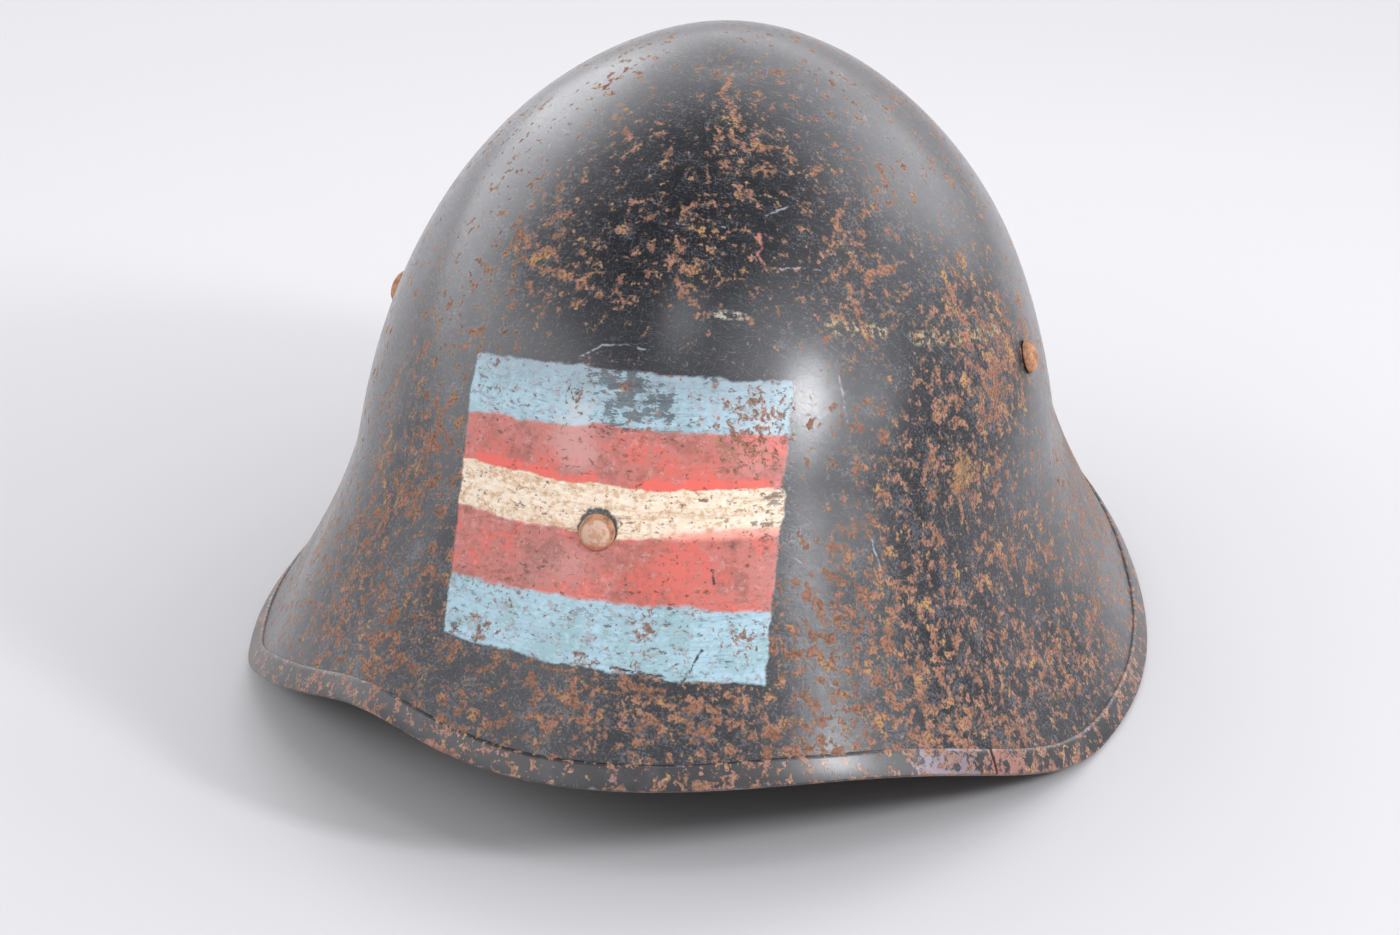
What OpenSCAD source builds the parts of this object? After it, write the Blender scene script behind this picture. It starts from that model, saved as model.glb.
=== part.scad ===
// Steel combat helmet: a deep dome with a raised visor, flared sides and a neck guard.
// The wearer looks along -Y, the wearer's left is +X, and the helmet rests on its side rims at Z = 0.

/* [Shell] */
// Height of the crown above the lowest rim edge of the shell
crown_height = 170; // [165:0.5:176]
// Half length of the dome in front of the centre, without the visor's flare
dome_front = 123; // [120:0.5:128]
// Half length of the dome behind the centre, without the neck guard's flare
dome_rear = 127; // [124:0.5:132]
// Half width of the dome, without the side flares
dome_side = 96.5; // [94:0.5:100]
// How far the crown's top lies behind the dome's centre
crown_lean = 14; // [8:0.5:18]
// Thickness of the steel sheet
sheet = 1.2; // [1:0.1:1.6]

/* [Flared rim] */
// How far the visor stands out from the dome
visor_flare = 22; // [16:0.5:26]
// How far the neck guard stands out from the dome
guard_flare = 27; // [20:0.5:30]
// How far the sides stand out from the dome
side_flare = 25.5; // [20:0.5:28]
// Height over which the visor and the neck guard flare
end_flare_height = 78; // [70:1:84]
// Height over which the sides flare
side_flare_height = 62; // [56:1:68]
// How far the rim rises under the visor
visor_rise = 29; // [22:0.5:32]
// How far the rim rises under the neck guard
guard_rise = 10.5; // [6:0.5:14]

/* [Rim strip] */
// Height of the folded strip on each face of the shell
strip_height = 6.5; // [5:0.1:8]
// Thickness of the strip's steel
strip_sheet = 0.6; // [0.4:0.05:0.8]
// Angle of the strip's butt seam, from the front towards the wearer's left
seam_angle = 49.5; // [9:4.5:72]
// Width of the butt seam
seam_gap = 0.6; // [0.4:0.1:1]

/* [Shell rivets] */
// Diameter of the domed rivet heads
rivet_head_d = 9.4; // [8.5:0.1:10.5]
// Height of the domed rivet heads
rivet_head_h = 2.6; // [2:0.1:3]
// Diameter of the rivets' shanks
rivet_shank_d = 4.5; // [4:0.1:5]
// Height of the front and rear rivets above the rest plane
rivet_z_ends = 83; // [80:0.5:88]
// Height of the side rivets above the rest plane
rivet_z_sides = 92; // [88:0.5:96]
// Diameter of the inside washers
washer_d = 11; // [10:0.1:12.5]
// Thickness of the inside washers
washer_t = 0.8; // [0.6:0.1:1.1]

/* [Liner band] */
// Half length of the spring steel band, at its outer face
band_half_length = 99; // [97:0.5:101]
// Half width of the spring steel band, at its outer face
band_half_width = 77; // [75.5:0.5:78.5]
// Height of the band's lower edge above the rest plane
band_z = 60; // [58:0.5:62]
// Height of the band itself
band_height = 18; // [16:0.5:20]
// Thickness of the band's steel
band_sheet = 1; // [0.8:0.1:1.2]
// Diameter of the small rivets in the band
band_rivet_d = 3; // [2.6:0.1:3.4]
// Width of the spring brackets
bracket_width = 13; // [12:0.5:15]
// Thickness of the spring brackets' steel
bracket_sheet = 0.9; // [0.8:0.05:1.1]

/* [Leather liner] */
// Thickness of the felt pads behind the leather
felt_t = 4; // [3.5:0.1:4.5]
// Height of the felt pads
felt_height = 30; // [26:1:32]
// Thickness of the leather headband
headband_t = 2; // [1.6:0.1:2.4]
// Height of the leather headband's lower edge above the rest plane
headband_z = 44; // [42:0.5:46]
// Height of the leather headband
headband_height = 38; // [36:0.5:40]
// Thickness of the crown leaves
leaf_t = 1.6; // [1.3:0.1:1.9]
// Height of the leaves' top above the rest plane
leaf_top_z = 137; // [133:0.5:141]
// Share of the way round that the leaves fill at their roots
leaf_fill = 0.86; // [0.8:0.01:0.9]
// Width of a leaf at its hem
hem_width = 12; // [11:0.5:13]
// Distance of the crown lace from the middle
lace_ring_r = 20; // [19:0.5:22]
// Diameter of the crown lace
lace_d = 2.4; // [2:0.1:3]

/* [Chinstrap] */
// Diameter of the strap loops' wire
loop_wire_d = 3; // [2.6:0.1:3.4]
// Width of the strap loops inside the wire
loop_inner_width = 22; // [21:0.5:24]
// Distance between the strap loops' upper and lower bars, centre to centre
loop_drop = 16; // [15:0.5:18]
// Width of the chinstrap
strap_width = 18; // [16:0.5:19]
// Thickness of the chinstrap
strap_t = 2; // [1.8:0.1:2.2]
// Diameter of the buckle's wire
buckle_wire_d = 2.4; // [2.2:0.1:2.8]
// Distance between the buckle's bars, centre to centre
buckle_length = 17; // [15:0.5:19]
// Travel of the keeper along the strap
keeper_travel = 12; // [8:1:14]

/* [Hidden] */

// Clearances between pieces that are made apart
press_gap = 0.1;      // in riveted and clenched joints
seat_gap = 0.3;       // between a piece and what it rests on
turn_gap = 0.3;       // round a wire that something turns on
washer_gap = 0.55;    // between a flat washer's middle and the hollow of the sheet

// Curves of the dome: how full each profile is, and how square the plan is
front_fullness = 2.8;
rear_fullness = 2.4;
side_fullness = 2.9;
shoulder = 1.72;
plan_power = 1.95;
side_flare_power = 1.65;
end_flare_power = 2.1;

// The rim's line: it is level along the sides and rises towards both ends
visor_angle = 74;
guard_angle = 76;
visor_arch = 0.8;
visor_wave = 7;
guard_wave = 5;

// A knock has bent the visor's rim up a little, to the wearer's right of its middle
knock_rise = 4.4;
knock_angle = -24.5;
knock_width = 11;

// Meshing of the shell's surface
meridians = 80;
rings = 21;
step = 360 / meridians;

// The strip's fold lifts the shell's own edge off the rest plane
strip_gap = 0.15;
edge_z = strip_gap + strip_sheet;

// Vector helpers
function unit(v) = v / norm(v);
function turned(r, angle, z) = [r * sin(angle), -r * cos(angle), z];

// The dome's half axes at a share of the height, and the flares added below
function full(share, fullness) = pow(max(1 - sign(share) * pow(abs(share), fullness), 0), 1 / shoulder);
function flare(rise, height, power) = pow(max(min(1 - rise / height, 1.2), 0), power);
function plan(angle, along, across) =
    1 / pow(pow(abs(cos(angle)) / max(along, 1e-6), plan_power)
            + pow(abs(sin(angle)) / max(across, 1e-6), plan_power), 1 / plan_power);
function is_front(angle) = cos(angle) > 0;

// Height of the rim's edge at an angle from the front
function off_front(angle) = abs(angle - 360 * round(angle / 360));
function bump(angle) = (1 + cos(angle)) / 2;
function visor_turn(angle) = min(off_front(angle) / visor_angle, 1) * 180;
function guard_turn(angle) = min((180 - off_front(angle)) / guard_angle, 1) * 180;
function rim_z(angle) =
    visor_rise * pow(bump(visor_turn(angle)), visor_arch) + visor_wave * pow(sin(visor_turn(angle)), 2)
    + guard_rise * bump(guard_turn(angle)) + guard_wave * pow(sin(guard_turn(angle)), 2)
    + knock_rise * exp(-pow(off_front(angle - knock_angle) / knock_width, 2));

// A point of the outer surface at an angle and a height above the shell's lowest edge
function dome_r(angle, z) =
    let (share = z / crown_height, rise = z - rim_z(angle), front = is_front(angle),
         along = (front ? dome_front : dome_rear) * full(share, front ? front_fullness : rear_fullness)
                 + (front ? visor_flare : guard_flare) * flare(rise, end_flare_height, end_flare_power),
         across = dome_side * full(share, side_fullness)
                  + side_flare * flare(rise, side_flare_height, side_flare_power))
    plan(angle, along, across);
front_reach = dome_r(0, visor_rise) - crown_lean * visor_rise / crown_height;
rear_reach = dome_r(180, guard_rise) + crown_lean * guard_rise / crown_height;
centre_y = (front_reach - rear_reach) / 2;
function outer(angle, z) =
    turned(dome_r(angle, z), angle, z + edge_z) + [0, centre_y + crown_lean * z / crown_height, 0];

// The outward normal there, from neighbouring points
probe = 0.5;
function outward(angle, z) =
    let (n = unit(cross(outer(angle + probe, z) - outer(angle - probe, z),
                        outer(angle, z + probe) - outer(angle, z - probe))))
    n;

// Heights of the shell's rings: close together at the crown, and one at the strip's upper edge
function ring_z(j, angle) =
    let (low = rim_z(angle))
    j == rings ? low
    : j == rings - 1 ? low + strip_height
    : crown_height - (crown_height - low) * (1 - cos(90 * (j + 1) / rings));
function shell_point(angle, j, depth) =
    outer(angle, ring_z(j, angle)) - depth * outward(angle, ring_z(j, angle));

// Faces of a closed sheet: rows of points round an outer and an inner skin that meet at the rim
function skin(first, j, n, flip) =
    [for (i = [0:n - 1])
        let (a = first + j * n + i, b = first + j * n + (i + 1) % n, c = a + n, d = b + n)
        each (flip ? [[a, c, b], [b, c, d]] : [[a, b, c], [b, d, c]])];

module shell_blank() {
    n = meridians;
    rows = rings + 1;
    inner = rows * n;
    points = concat(
        [for (j = [0:rings]) for (i = [0:n - 1]) shell_point(i * step, j, 0)],
        [for (j = [0:rings]) for (i = [0:n - 1]) shell_point(i * step, j, sheet)],
        [for (depth = [0, sheet]) [0, centre_y + crown_lean, crown_height + edge_z - depth]]);
    faces = concat(
        [for (j = [0:rings - 1]) each skin(0, j, n, false)],
        [for (j = [0:rings - 1]) each skin(inner, j, n, true)],
        [for (i = [0:n - 1]) [2 * inner, (i + 1) % n, i]],
        [for (i = [0:n - 1]) [2 * inner + 1, inner + i, inner + (i + 1) % n]],
        [for (i = [0:n - 1])
            let (a = rings * n + i, b = rings * n + (i + 1) % n)
            each [[a, b, a + inner], [b, b + inner, a + inner]]]);
    polyhedron(points, faces, convexity = 4);
}

// The four rivet places: at the front, on the wearer's left, at the rear and on the right
rivet_angles = [0, 90, 180, 270];
function at_end(k) = k % 2 == 0;
function rivet_z(k) = (at_end(k) ? rivet_z_ends : rivet_z_sides) - edge_z;

// The side rivets lie in the liner's own middle plane, a little off the dome's middle
side_shift = centre_y + crown_lean * rivet_z(1) / crown_height;
side_rivet_angle = acos(side_shift / dome_r(90, rivet_z(1)));
function dome_angle(k) = at_end(k) ? rivet_angles[k] : (k == 1 ? 1 : -1) * side_rivet_angle;
function rivet_point(k) = outer(dome_angle(k), rivet_z(k));
function rivet_tilt(k) = asin(outward(dome_angle(k), rivet_z(k))[2]);
rivet_bore = rivet_shank_d + 2 * press_gap;

// Puts its children at a rivet, with their Z axis along the surface's outward normal
module at_rivet(k) {
    translate(rivet_point(k))
        rotate([0, 0, rivet_angles[k] - 90])
            rotate([0, 90 - rivet_tilt(k), 0])
                children();
}

module shell() {
    color("#26282c")
        difference() {
            shell_blank();
            for (k = [0:3])
                at_rivet(k)
                    cylinder(h = 12, d = rivet_bore, center = true, $fn = 48);
        }
}

// The strip's section, in steps along the surface from the edge and steps out of it
function strip_section() =
    let (g = strip_gap, t = strip_sheet, inside = -sheet - strip_gap, top = strip_height - 0.3)
    [[top, g], [top, g + t], [-g, g + t], [-g - 0.75 * t, g + 0.6 * t], [-g - t, 0],
     [-g - t, -sheet], [-g - 0.75 * t, inside - 0.6 * t], [-g, inside - t], [top, inside - t],
     [top, inside], [-g, inside], [-g, g]];

function strip_ring(angle) =
    let (edge = outer(angle, rim_z(angle)), top = outer(angle, rim_z(angle) + strip_height),
         up = unit(top - edge), normal = outward(angle, rim_z(angle)), out = unit(normal - up * (normal * up)))
    [for (p = strip_section()) edge + p[0] * up + p[1] * out];

// Angles of the strip's rings: on the shell's own meridians, with a ring each side of the seam
seam_turn = seam_gap / (2 * dome_r(seam_angle, rim_z(seam_angle))) * 180 / PI;
strip_angles = concat([seam_angle + seam_turn], [for (i = [1:meridians - 1]) seam_angle + i * step],
                      [seam_angle + 360 - seam_turn]);

// A closed bar swept through rings of points, with flat ends
module swept(bar) {
    n = len(bar[0]);
    last = (len(bar) - 1) * n;
    polyhedron([for (r = bar) each r],
        concat([for (j = [0:len(bar) - 2]) each skin(0, j, n, false)],
               [[for (i = [0:n - 1]) n - 1 - i]], [[for (i = [0:n - 1]) last + i]]), convexity = 6);
}

module rim_strip() {
    color("#5d4a42")
        swept([for (a = strip_angles) strip_ring(a)]);
}

// Under each rivet, inwards: the shell, a washer, the bracket's foot and the closed end
foot_in = sheet + washer_gap + washer_t + press_gap;
shank_in = foot_in + bracket_sheet + press_gap + seat_gap;
closed_d = rivet_shank_d + 2.6;
closed_h = 1.3;

module shell_rivet(k) {
    r = rivet_head_d / 2;
    ball = (r * r + rivet_head_h * rivet_head_h) / (2 * rivet_head_h);
    arc = asin(r / ball);
    color("#a8673c")
        at_rivet(k)
            rotate_extrude($fn = 64)
                polygon(concat(
                    [[0, -shank_in - closed_h], [closed_d / 2 - 0.5, -shank_in - closed_h],
                     [closed_d / 2, -shank_in - closed_h + 0.5], [closed_d / 2, -shank_in],
                     [rivet_shank_d / 2, -shank_in], [rivet_shank_d / 2, press_gap], [r, press_gap]],
                    [for (i = [1:8])
                        let (a = arc * (1 - i / 8))
                        [ball * sin(a), press_gap + rivet_head_h - ball + ball * cos(a)]]));
}

module washer(k) {
    color("#8b8781")
        at_rivet(k)
            translate([0, 0, -sheet - washer_gap - washer_t])
                difference() {
                    cylinder(h = washer_t, d = washer_d, $fn = 64);
                    cylinder(h = 3 * washer_t, d = rivet_bore, center = true, $fn = 48);
                }
}

// The spring bracket: a foot under the shell rivet, a slope and a leg on the liner band
bracket_foot = 8;
leg_z = band_z + band_height / 2;
leg_up = 5;           // how far the leg reaches above its rivet before it bends away
leg_down = 6;         // and below it
leg_ease = [0.8, 1.5];
band_rivet_bore = band_rivet_d + 2 * press_gap;
function band_reach(k) = at_end(k) ? band_half_length : band_half_width;

// The same places in a flat section: distance from the middle, and height
function rivet_out(k) = at_end(k) ? abs(rivet_point(k)[1]) : abs(rivet_point(k)[0]);
function foot_point(k, along, deep) =
    [rivet_out(k) - along * sin(rivet_tilt(k)) - deep * cos(rivet_tilt(k)),
     rivet_z(k) + edge_z + along * cos(rivet_tilt(k)) - deep * sin(rivet_tilt(k))];
function bracket_line(k) =
    let (deep = foot_in + bracket_sheet / 2, leg = [band_reach(k) + press_gap + bracket_sheet / 2, leg_z])
    [foot_point(k, bracket_foot - 1, deep), foot_point(k, -bracket_foot, deep),
     leg + [0, leg_up] + leg_ease, leg + [0, leg_up], leg - [0, leg_down]];

// A flat band of a given thickness along a line of points
function side_step(line, i) =
    let (last = len(line) - 1,
         before = unit(i == 0 ? line[1] - line[0] : line[i] - line[i - 1]),
         after = unit(i == last ? line[i] - line[i - 1] : line[i + 1] - line[i]),
         mid = unit(before + after))
    [-mid[1], mid[0]] / (mid * before);
function ribbon(line, t) = concat(
    [for (i = [0:len(line) - 1]) line[i] + side_step(line, i) * t / 2],
    [for (i = [len(line) - 1:-1:0]) line[i] - side_step(line, i) * t / 2]);

// Draws a flat section in the upright plane through an angle, with a width across it
module upright(angle, width) {
    rotate([0, 0, angle - 90])
        rotate([90, 0, 0])
            linear_extrude(width, center = true)
                children();
}

module at_band_rivet(k) {
    rotate([0, 0, rivet_angles[k] - 90])
        translate([band_reach(k), 0, leg_z])
            rotate([0, 90, 0])
                children();
}

module bracket(k) {
    color("#6f6a62")
        difference() {
            upright(rivet_angles[k], bracket_width)
                polygon(ribbon(bracket_line(k), bracket_sheet));
            at_rivet(k)
                cylinder(h = 20, d = rivet_bore, center = true, $fn = 48);
            at_band_rivet(k)
                cylinder(h = 12, d = band_rivet_bore, center = true, $fn = 32);
        }
}

// Ovals of the liner, at a distance inside the band's outer face
function oval_point(angle, deep) =
    [(band_half_width - deep) * sin(angle), -(band_half_length - deep) * cos(angle)];
function oval(deep, from = 0, to = 360, n = 96) =
    [for (i = [0:n - (to - from == 360 ? 1 : 0)]) oval_point(from + (to - from) * i / n, deep)];
module hoop(deep, t) {
    difference() {
        polygon(oval(deep));
        polygon(oval(deep + t));
    }
}

module liner_band() {
    color("#7a746a")
        difference() {
            translate([0, 0, band_z])
                linear_extrude(band_height)
                    hoop(0, band_sheet);
            for (k = [0:3])
                at_band_rivet(k)
                    cylinder(h = 12, d = band_rivet_bore, center = true, $fn = 32);
        }
}

// The side rivets also hold the strap tabs, so their shanks are longer
function tab_t(k) = at_end(k) ? 0 : tab_sheet + press_gap;
tab_sheet = 0.9;
band_rivet_head_d = 6;
band_rivet_head_h = 1.4;
band_rivet_tail_h = 0.8;

module band_rivet(k) {
    head = press_gap + bracket_sheet + tab_t(k) + press_gap;
    tail = -band_sheet - press_gap;
    r = band_rivet_head_d / 2;
    tail_r = r - 0.3;
    color("#8a857b")
        at_band_rivet(k)
            rotate_extrude($fn = 48)
                polygon([[0, tail - band_rivet_tail_h], [tail_r - 0.5, tail - band_rivet_tail_h],
                         [tail_r, tail - band_rivet_tail_h / 2], [tail_r, tail],
                         [band_rivet_d / 2, tail], [band_rivet_d / 2, head], [r, head],
                         [r * 0.85, head + 0.8], [r * 0.5, head + band_rivet_head_h - 0.2],
                         [0, head + band_rivet_head_h]]);
}

// Felt pads fill the space between the band and the leather
felt_in = band_sheet + 1.2;
felt_half_angle = 26;
felt_drop = 3;        // the pads hang lower than the band's middle
felt_z = band_z + band_height / 2 - felt_height / 2 - felt_drop;

module felt(k) {
    from = rivet_angles[k] - felt_half_angle;
    to = rivet_angles[k] + felt_half_angle;
    n = 20;
    color("#8d8674")
        translate([0, 0, felt_z])
            linear_extrude(felt_height)
                polygon(concat(oval(felt_in, from, to, n),
                               [for (i = [n:-1:0]) oval_point(from + (to - from) * i / n, felt_in + felt_t)]));
}

// The leather headband: a softly bulged ring with a rolled lower edge
head_in = felt_in + felt_t + seat_gap;
head_top = headband_z + headband_height;
roll_t = 1.2;
bulge = 1;
function headband_section() =
    let (t = headband_t, z = headband_z, h = headband_height)
    [[head_in, z + h], [head_in, z + 0.55 * h], [head_in, z + 4], [head_in - roll_t / 2, z + 1.5],
     [head_in + t / 2, z], [head_in + t + roll_t / 2, z + 1.5], [head_in + t, z + 4],
     [head_in + t + bulge, z + 0.5 * h], [head_in + t, z + h]];

// A ring swept round the oval through a section of depths and heights
module oval_ring(section, n = 72) {
    rows = len(section);
    polyhedron([for (s = section) for (i = [0:n - 1]) [each oval_point(i * 360 / n, s[0]), s[1]]],
        [for (j = [0:rows - 1]) for (i = [0:n - 1])
            let (next = (i + 1) % n, above = (j + 1) % rows * n, a = j * n + i, b = j * n + next)
            each [[a, above + i, b], [b, above + i, above + next]]], convexity = 6);
}

module headband() {
    color("#6b4a2f")
        oval_ring(headband_section());
}

// Crown leaves: tongues that rise from the headband and hem round the crown lace
leaf_root_z = head_top + seat_gap;
hem_r = lace_d / 2 + turn_gap + leaf_t / 2;
lace_z = leaf_top_z - hem_r;
leaves = 8;
leaf_rows = 9;
hem_rows = 7;
hem_turn = 250;
leaf_columns = 6;
leaf_angle = 360 / leaves;

// The dome that the leaves lie on, at a turn from its foot (0) to its top (90)
function crown_point(angle, turn) =
    let (foot = norm(oval_point(angle, head_in + headband_t / 2)),
         r = lace_ring_r + (foot - lace_ring_r) * cos(turn))
    turned(r, angle_at(angle), leaf_root_z + (leaf_top_z - leaf_root_z) * sin(turn));
function angle_at(angle) = let (p = oval_point(angle, head_in + headband_t / 2)) atan2(p[0], -p[1]);

// Share of a leaf's root width that is left at a turn
function leaf_taper(turn) = pow(cos(turn), 0.75);
function leaf_mid(k) = (k + 0.5) * leaf_angle;

// A point of the leaf's middle sheet: across from -1 to 1, and row along it
function hem_centre(k) = turned(lace_ring_r, leaf_mid(k), lace_z);
function straight_across(k, across) = across * hem_width / 2 * turned(1, leaf_mid(k) + 90, 0);
function hem_point(k, across, row) =
    let (a = 90 + hem_turn * (row - leaf_rows) / hem_rows)
    hem_centre(k) + turned(hem_r * cos(a), leaf_mid(k), hem_r * sin(a)) + straight_across(k, across);
function tongue_point(k, across, turn) =
    let (root = crown_point(leaf_mid(k) + across * leaf_fill * leaf_angle / 2, turn),
         middle = crown_point(leaf_mid(k), turn),
         tip = turned(norm([middle[0], middle[1]]), leaf_mid(k), middle[2]) + straight_across(k, across),
         share = leaf_taper(turn))
    share * root + (1 - share) * tip;
function leaf_point(k, across, row) =
    row > leaf_rows ? hem_point(k, across, row) : tongue_point(k, across, 90 * row / leaf_rows);
function leaf_across(j) = -1 + 2 * j / leaf_columns;
function leaf_normal(k, across, row) =
    let (before = max(row - 1, 0), after = min(row + 1, leaf_rows + hem_rows),
         along = leaf_point(k, across, after) - leaf_point(k, across, before),
         wide = leaf_point(k, min(across + 0.3, 1), row) - leaf_point(k, max(across - 0.3, -1), row))
    unit(cross(wide, along));

function leaf_skin(k, j, row, side) =
    leaf_point(k, leaf_across(j), row) + side * leaf_normal(k, leaf_across(j), row) * leaf_t / 2;

module leaf(k) {
    rows = leaf_rows + hem_rows;
    ring = 2 * (leaf_columns + 1);
    bar = [for (row = [0:rows])
        concat([for (j = [0:leaf_columns]) leaf_skin(k, j, row, 1)],
               [for (j = [leaf_columns:-1:0]) leaf_skin(k, j, row, -1)])];
    color("#75522f")
        polyhedron([for (r = bar) each r],
            concat([for (j = [0:rows - 1]) each skin(0, j, ring, false)],
                   [for (j = [0:leaf_columns - 1])
                       each [[j + 1, j, ring - 1 - j], [j + 1, ring - 1 - j, ring - 2 - j]]],
                   [for (j = [0:leaf_columns - 1])
                       let (a = rows * ring + j, b = (rows + 1) * ring - 1 - j)
                       each [[a, a + 1, b], [a + 1, b - 1, b]]]),
            convexity = 6);
}

// The lace: a loop of straight runs through the hems
module crown_lace() {
    n = 8;
    past_hem = 1 + 0.8 / hem_width;
    route = [for (k = [0:leaves - 1]) for (end = [-past_hem, past_hem])
                 hem_centre(k) + straight_across(k, end)];
    count = len(route);
    color("#b9ad94")
        polyhedron([for (i = [0:count - 1])
                let (k = floor(i / 2), out = turned(1, leaf_mid(k), 0))
                for (s = [0:n - 1])
                    route[i] + lace_d / 2 * (cos(s * 360 / n) * out + [0, 0, sin(s * 360 / n)])],
            [for (i = [0:count - 1]) for (s = [0:n - 1])
                let (next = (s + 1) % n, ahead = (i + 1) % count * n, a = i * n + s, b = i * n + next)
                each [[a, ahead + s, b], [b, ahead + s, ahead + next]]], convexity = 6);
}

// Strap tabs: strips under the side band rivets, with an eye for the strap loop below the band
loop_x = band_half_width + 2.6;
loop_z = band_z - 8;
eye_r = loop_wire_d / 2 + turn_gap;
eye_turn = 285;
eye_steps = 12;
tab_width = 16;
tab_up = 4;           // how far a tab reaches above its rivet
tab_down = 6;         // and below it, before the eye
bar_z = loop_z - loop_drop;

tab_x = band_half_width + 2 * press_gap + bracket_sheet + tab_sheet / 2;
function tab_line() =
    let (r = eye_r + tab_sheet / 2, start = acos((tab_x - loop_x) / r))
    concat([[tab_x, leg_z + tab_up], [tab_x, leg_z - tab_down]],
           arc_line([loop_x, loop_z], r, start, start + eye_turn, eye_steps));

module strap_tab(side) {
    k = side > 0 ? 1 : 3;
    color("#6f6a62")
        difference() {
            upright(rivet_angles[k], tab_width)
                polygon(ribbon(tab_line(), tab_sheet));
            at_band_rivet(k)
                cylinder(h = 12, d = band_rivet_bore, center = true, $fn = 32);
        }
}

// A rectangular wire frame in the plane X = 0, between two bars, hanging down from the origin
module wire_frame(width, drop, d) {
    bend = d;
    w = width / 2 + d / 2;
    for (z = [0, -drop])
        translate([0, 0, z])
            rotate([90, 0, 0])
                cylinder(h = 2 * (w - bend), d = d, center = true, $fn = 32);
    for (s = [-1, 1]) {
        translate([0, s * w, -drop + bend])
            cylinder(h = drop - 2 * bend, d = d, $fn = 32);
        translate([0, s * (w - bend), -bend])
            rotate([0, -90, 0])
                rotate([0, 0, s > 0 ? 0 : -90])
                    rotate_extrude(angle = 90, $fn = 48)
                        translate([bend, 0])
                            circle(d = d, $fn = 32);
        translate([0, s * (w - bend), -drop + bend])
            rotate([0, -90, 0])
                rotate([0, 0, s > 0 ? 90 : 180])
                    rotate_extrude(angle = 90, $fn = 48)
                        translate([bend, 0])
                            circle(d = d, $fn = 32);
    }
}

module strap_loop(side) {
    color("#77716a")
        translate([side * loop_x, 0, loop_z])
            wire_frame(loop_inner_width, loop_drop, loop_wire_d);
}

// Chinstrap halves: each is folded round its loop's lower bar and lies up inside the liner
ply_gap = 0.3;
ply_step = strap_t + ply_gap;
fold_r = loop_wire_d / 2 + turn_gap + strap_t / 2;
stow_gap = 4.2;
stow_x = band_half_width - head_in - headband_t - bulge - stow_gap - strap_t / 2;
turn_in_r = 5;
run_z = bar_z + fold_r;
rise_z = run_z + turn_in_r;
crown_bend_r = 46;
bend_x = stow_x - crown_bend_r;
ply_top_z = rise_z + 16;

// The keeper slides on the straight run above the folded ply, so the bend starts past its travel
keeper_t = 1.5;
keeper_length = 9;
keeper_rest = 1.5;    // above the ply's end
keeper_z = ply_top_z + keeper_rest;
keeper_room = 2 * strap_t + 2 * ply_gap;
bend_ease = 3.7;      // left over above the keeper's travel
crown_bend_z = keeper_z + keeper_length + keeper_travel + bend_ease;

// Strap lines in the upright plane: distance from the middle, and height
function arc_line(c, r, from, to, n) =
    [for (i = [0:n]) let (a = from + (to - from) * i / n) c + r * [cos(a), sin(a)]];
function bend_point(r, angle) = [bend_x + r * cos(angle), crown_bend_z + r * sin(angle)];
function bend_angle(rise) = (rise - (crown_bend_z - rise_z)) / crown_bend_r * 180 / PI;
turn_in = [stow_x + turn_in_r, rise_z];
function lower_line() =
    concat([[stow_x - ply_step, ply_top_z]], arc_line(turn_in, turn_in_r + ply_step, 180, 270, 5),
           [[turn_in[0] + 5, run_z - ply_step]], arc_line([loop_x, bar_z], fold_r, -108, 90, 9),
           arc_line(turn_in, turn_in_r, 270, 180, 5));
function strap_line(rise) =
    concat(lower_line(), arc_line([bend_x, crown_bend_z], crown_bend_r, 0, bend_angle(rise), 9));

module strap_solid(side, line) {
    upright(side > 0 ? 90 : 270, strap_width)
        polygon(ribbon(line, strap_t));
}

// Puts its children on a strap's line, with their Z axis outwards through the strap
module at_bend(side, r, angle) {
    rotate([0, 0, side > 0 ? 0 : 180])
        translate([bend_point(r, angle)[0], 0, bend_point(r, angle)[1]])
            rotate([0, 90 - angle, 0])
                children();
}

// The long half is doubled back on itself by a hairpin, and has the punched holes
long_rise = 104;
long_return = 62;
hairpin_r = 2.6;
hole_d = 3.2;
hole_count = 4;
hole_pitch = 12;
back_r = crown_bend_r - 2 * hairpin_r;

module strap_long() {
    top = bend_angle(long_rise);
    tail = long_return - back_r * top * PI / 180;
    line = concat(strap_line(long_rise),
                  arc_line(bend_point(crown_bend_r - hairpin_r, top), hairpin_r, top + 30, top + 180, 5),
                  arc_line([bend_x, crown_bend_z], back_r, top - 8, 0, 8),
                  [[bend_x + back_r, crown_bend_z - tail]]);
    color("#5b3d27")
        difference() {
            strap_solid(1, line);
            for (i = [0:hole_count - 1])
                at_bend(1, back_r, 8 + i * hole_pitch / back_r * 180 / PI)
                    cylinder(h = strap_t + 1.6, d = hole_d, center = true, $fn = 32);
            strap_rivet_hole(1);
        }
}

// The short half is folded round the buckle's bar, with a slot for the prong
short_rise = 84;
buckle_fold_r = buckle_wire_d / 2 + turn_gap + strap_t / 2;
buckle_angle = bend_angle(short_rise);
prong_width = 2.4;
prong_t = 1.5;
prong_slot = prong_width + 1;
buckle_tilt = 14;
buckle_ply_r = crown_bend_r - ply_step;
buckle_rivet_angle = buckle_angle - 21;

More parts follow.
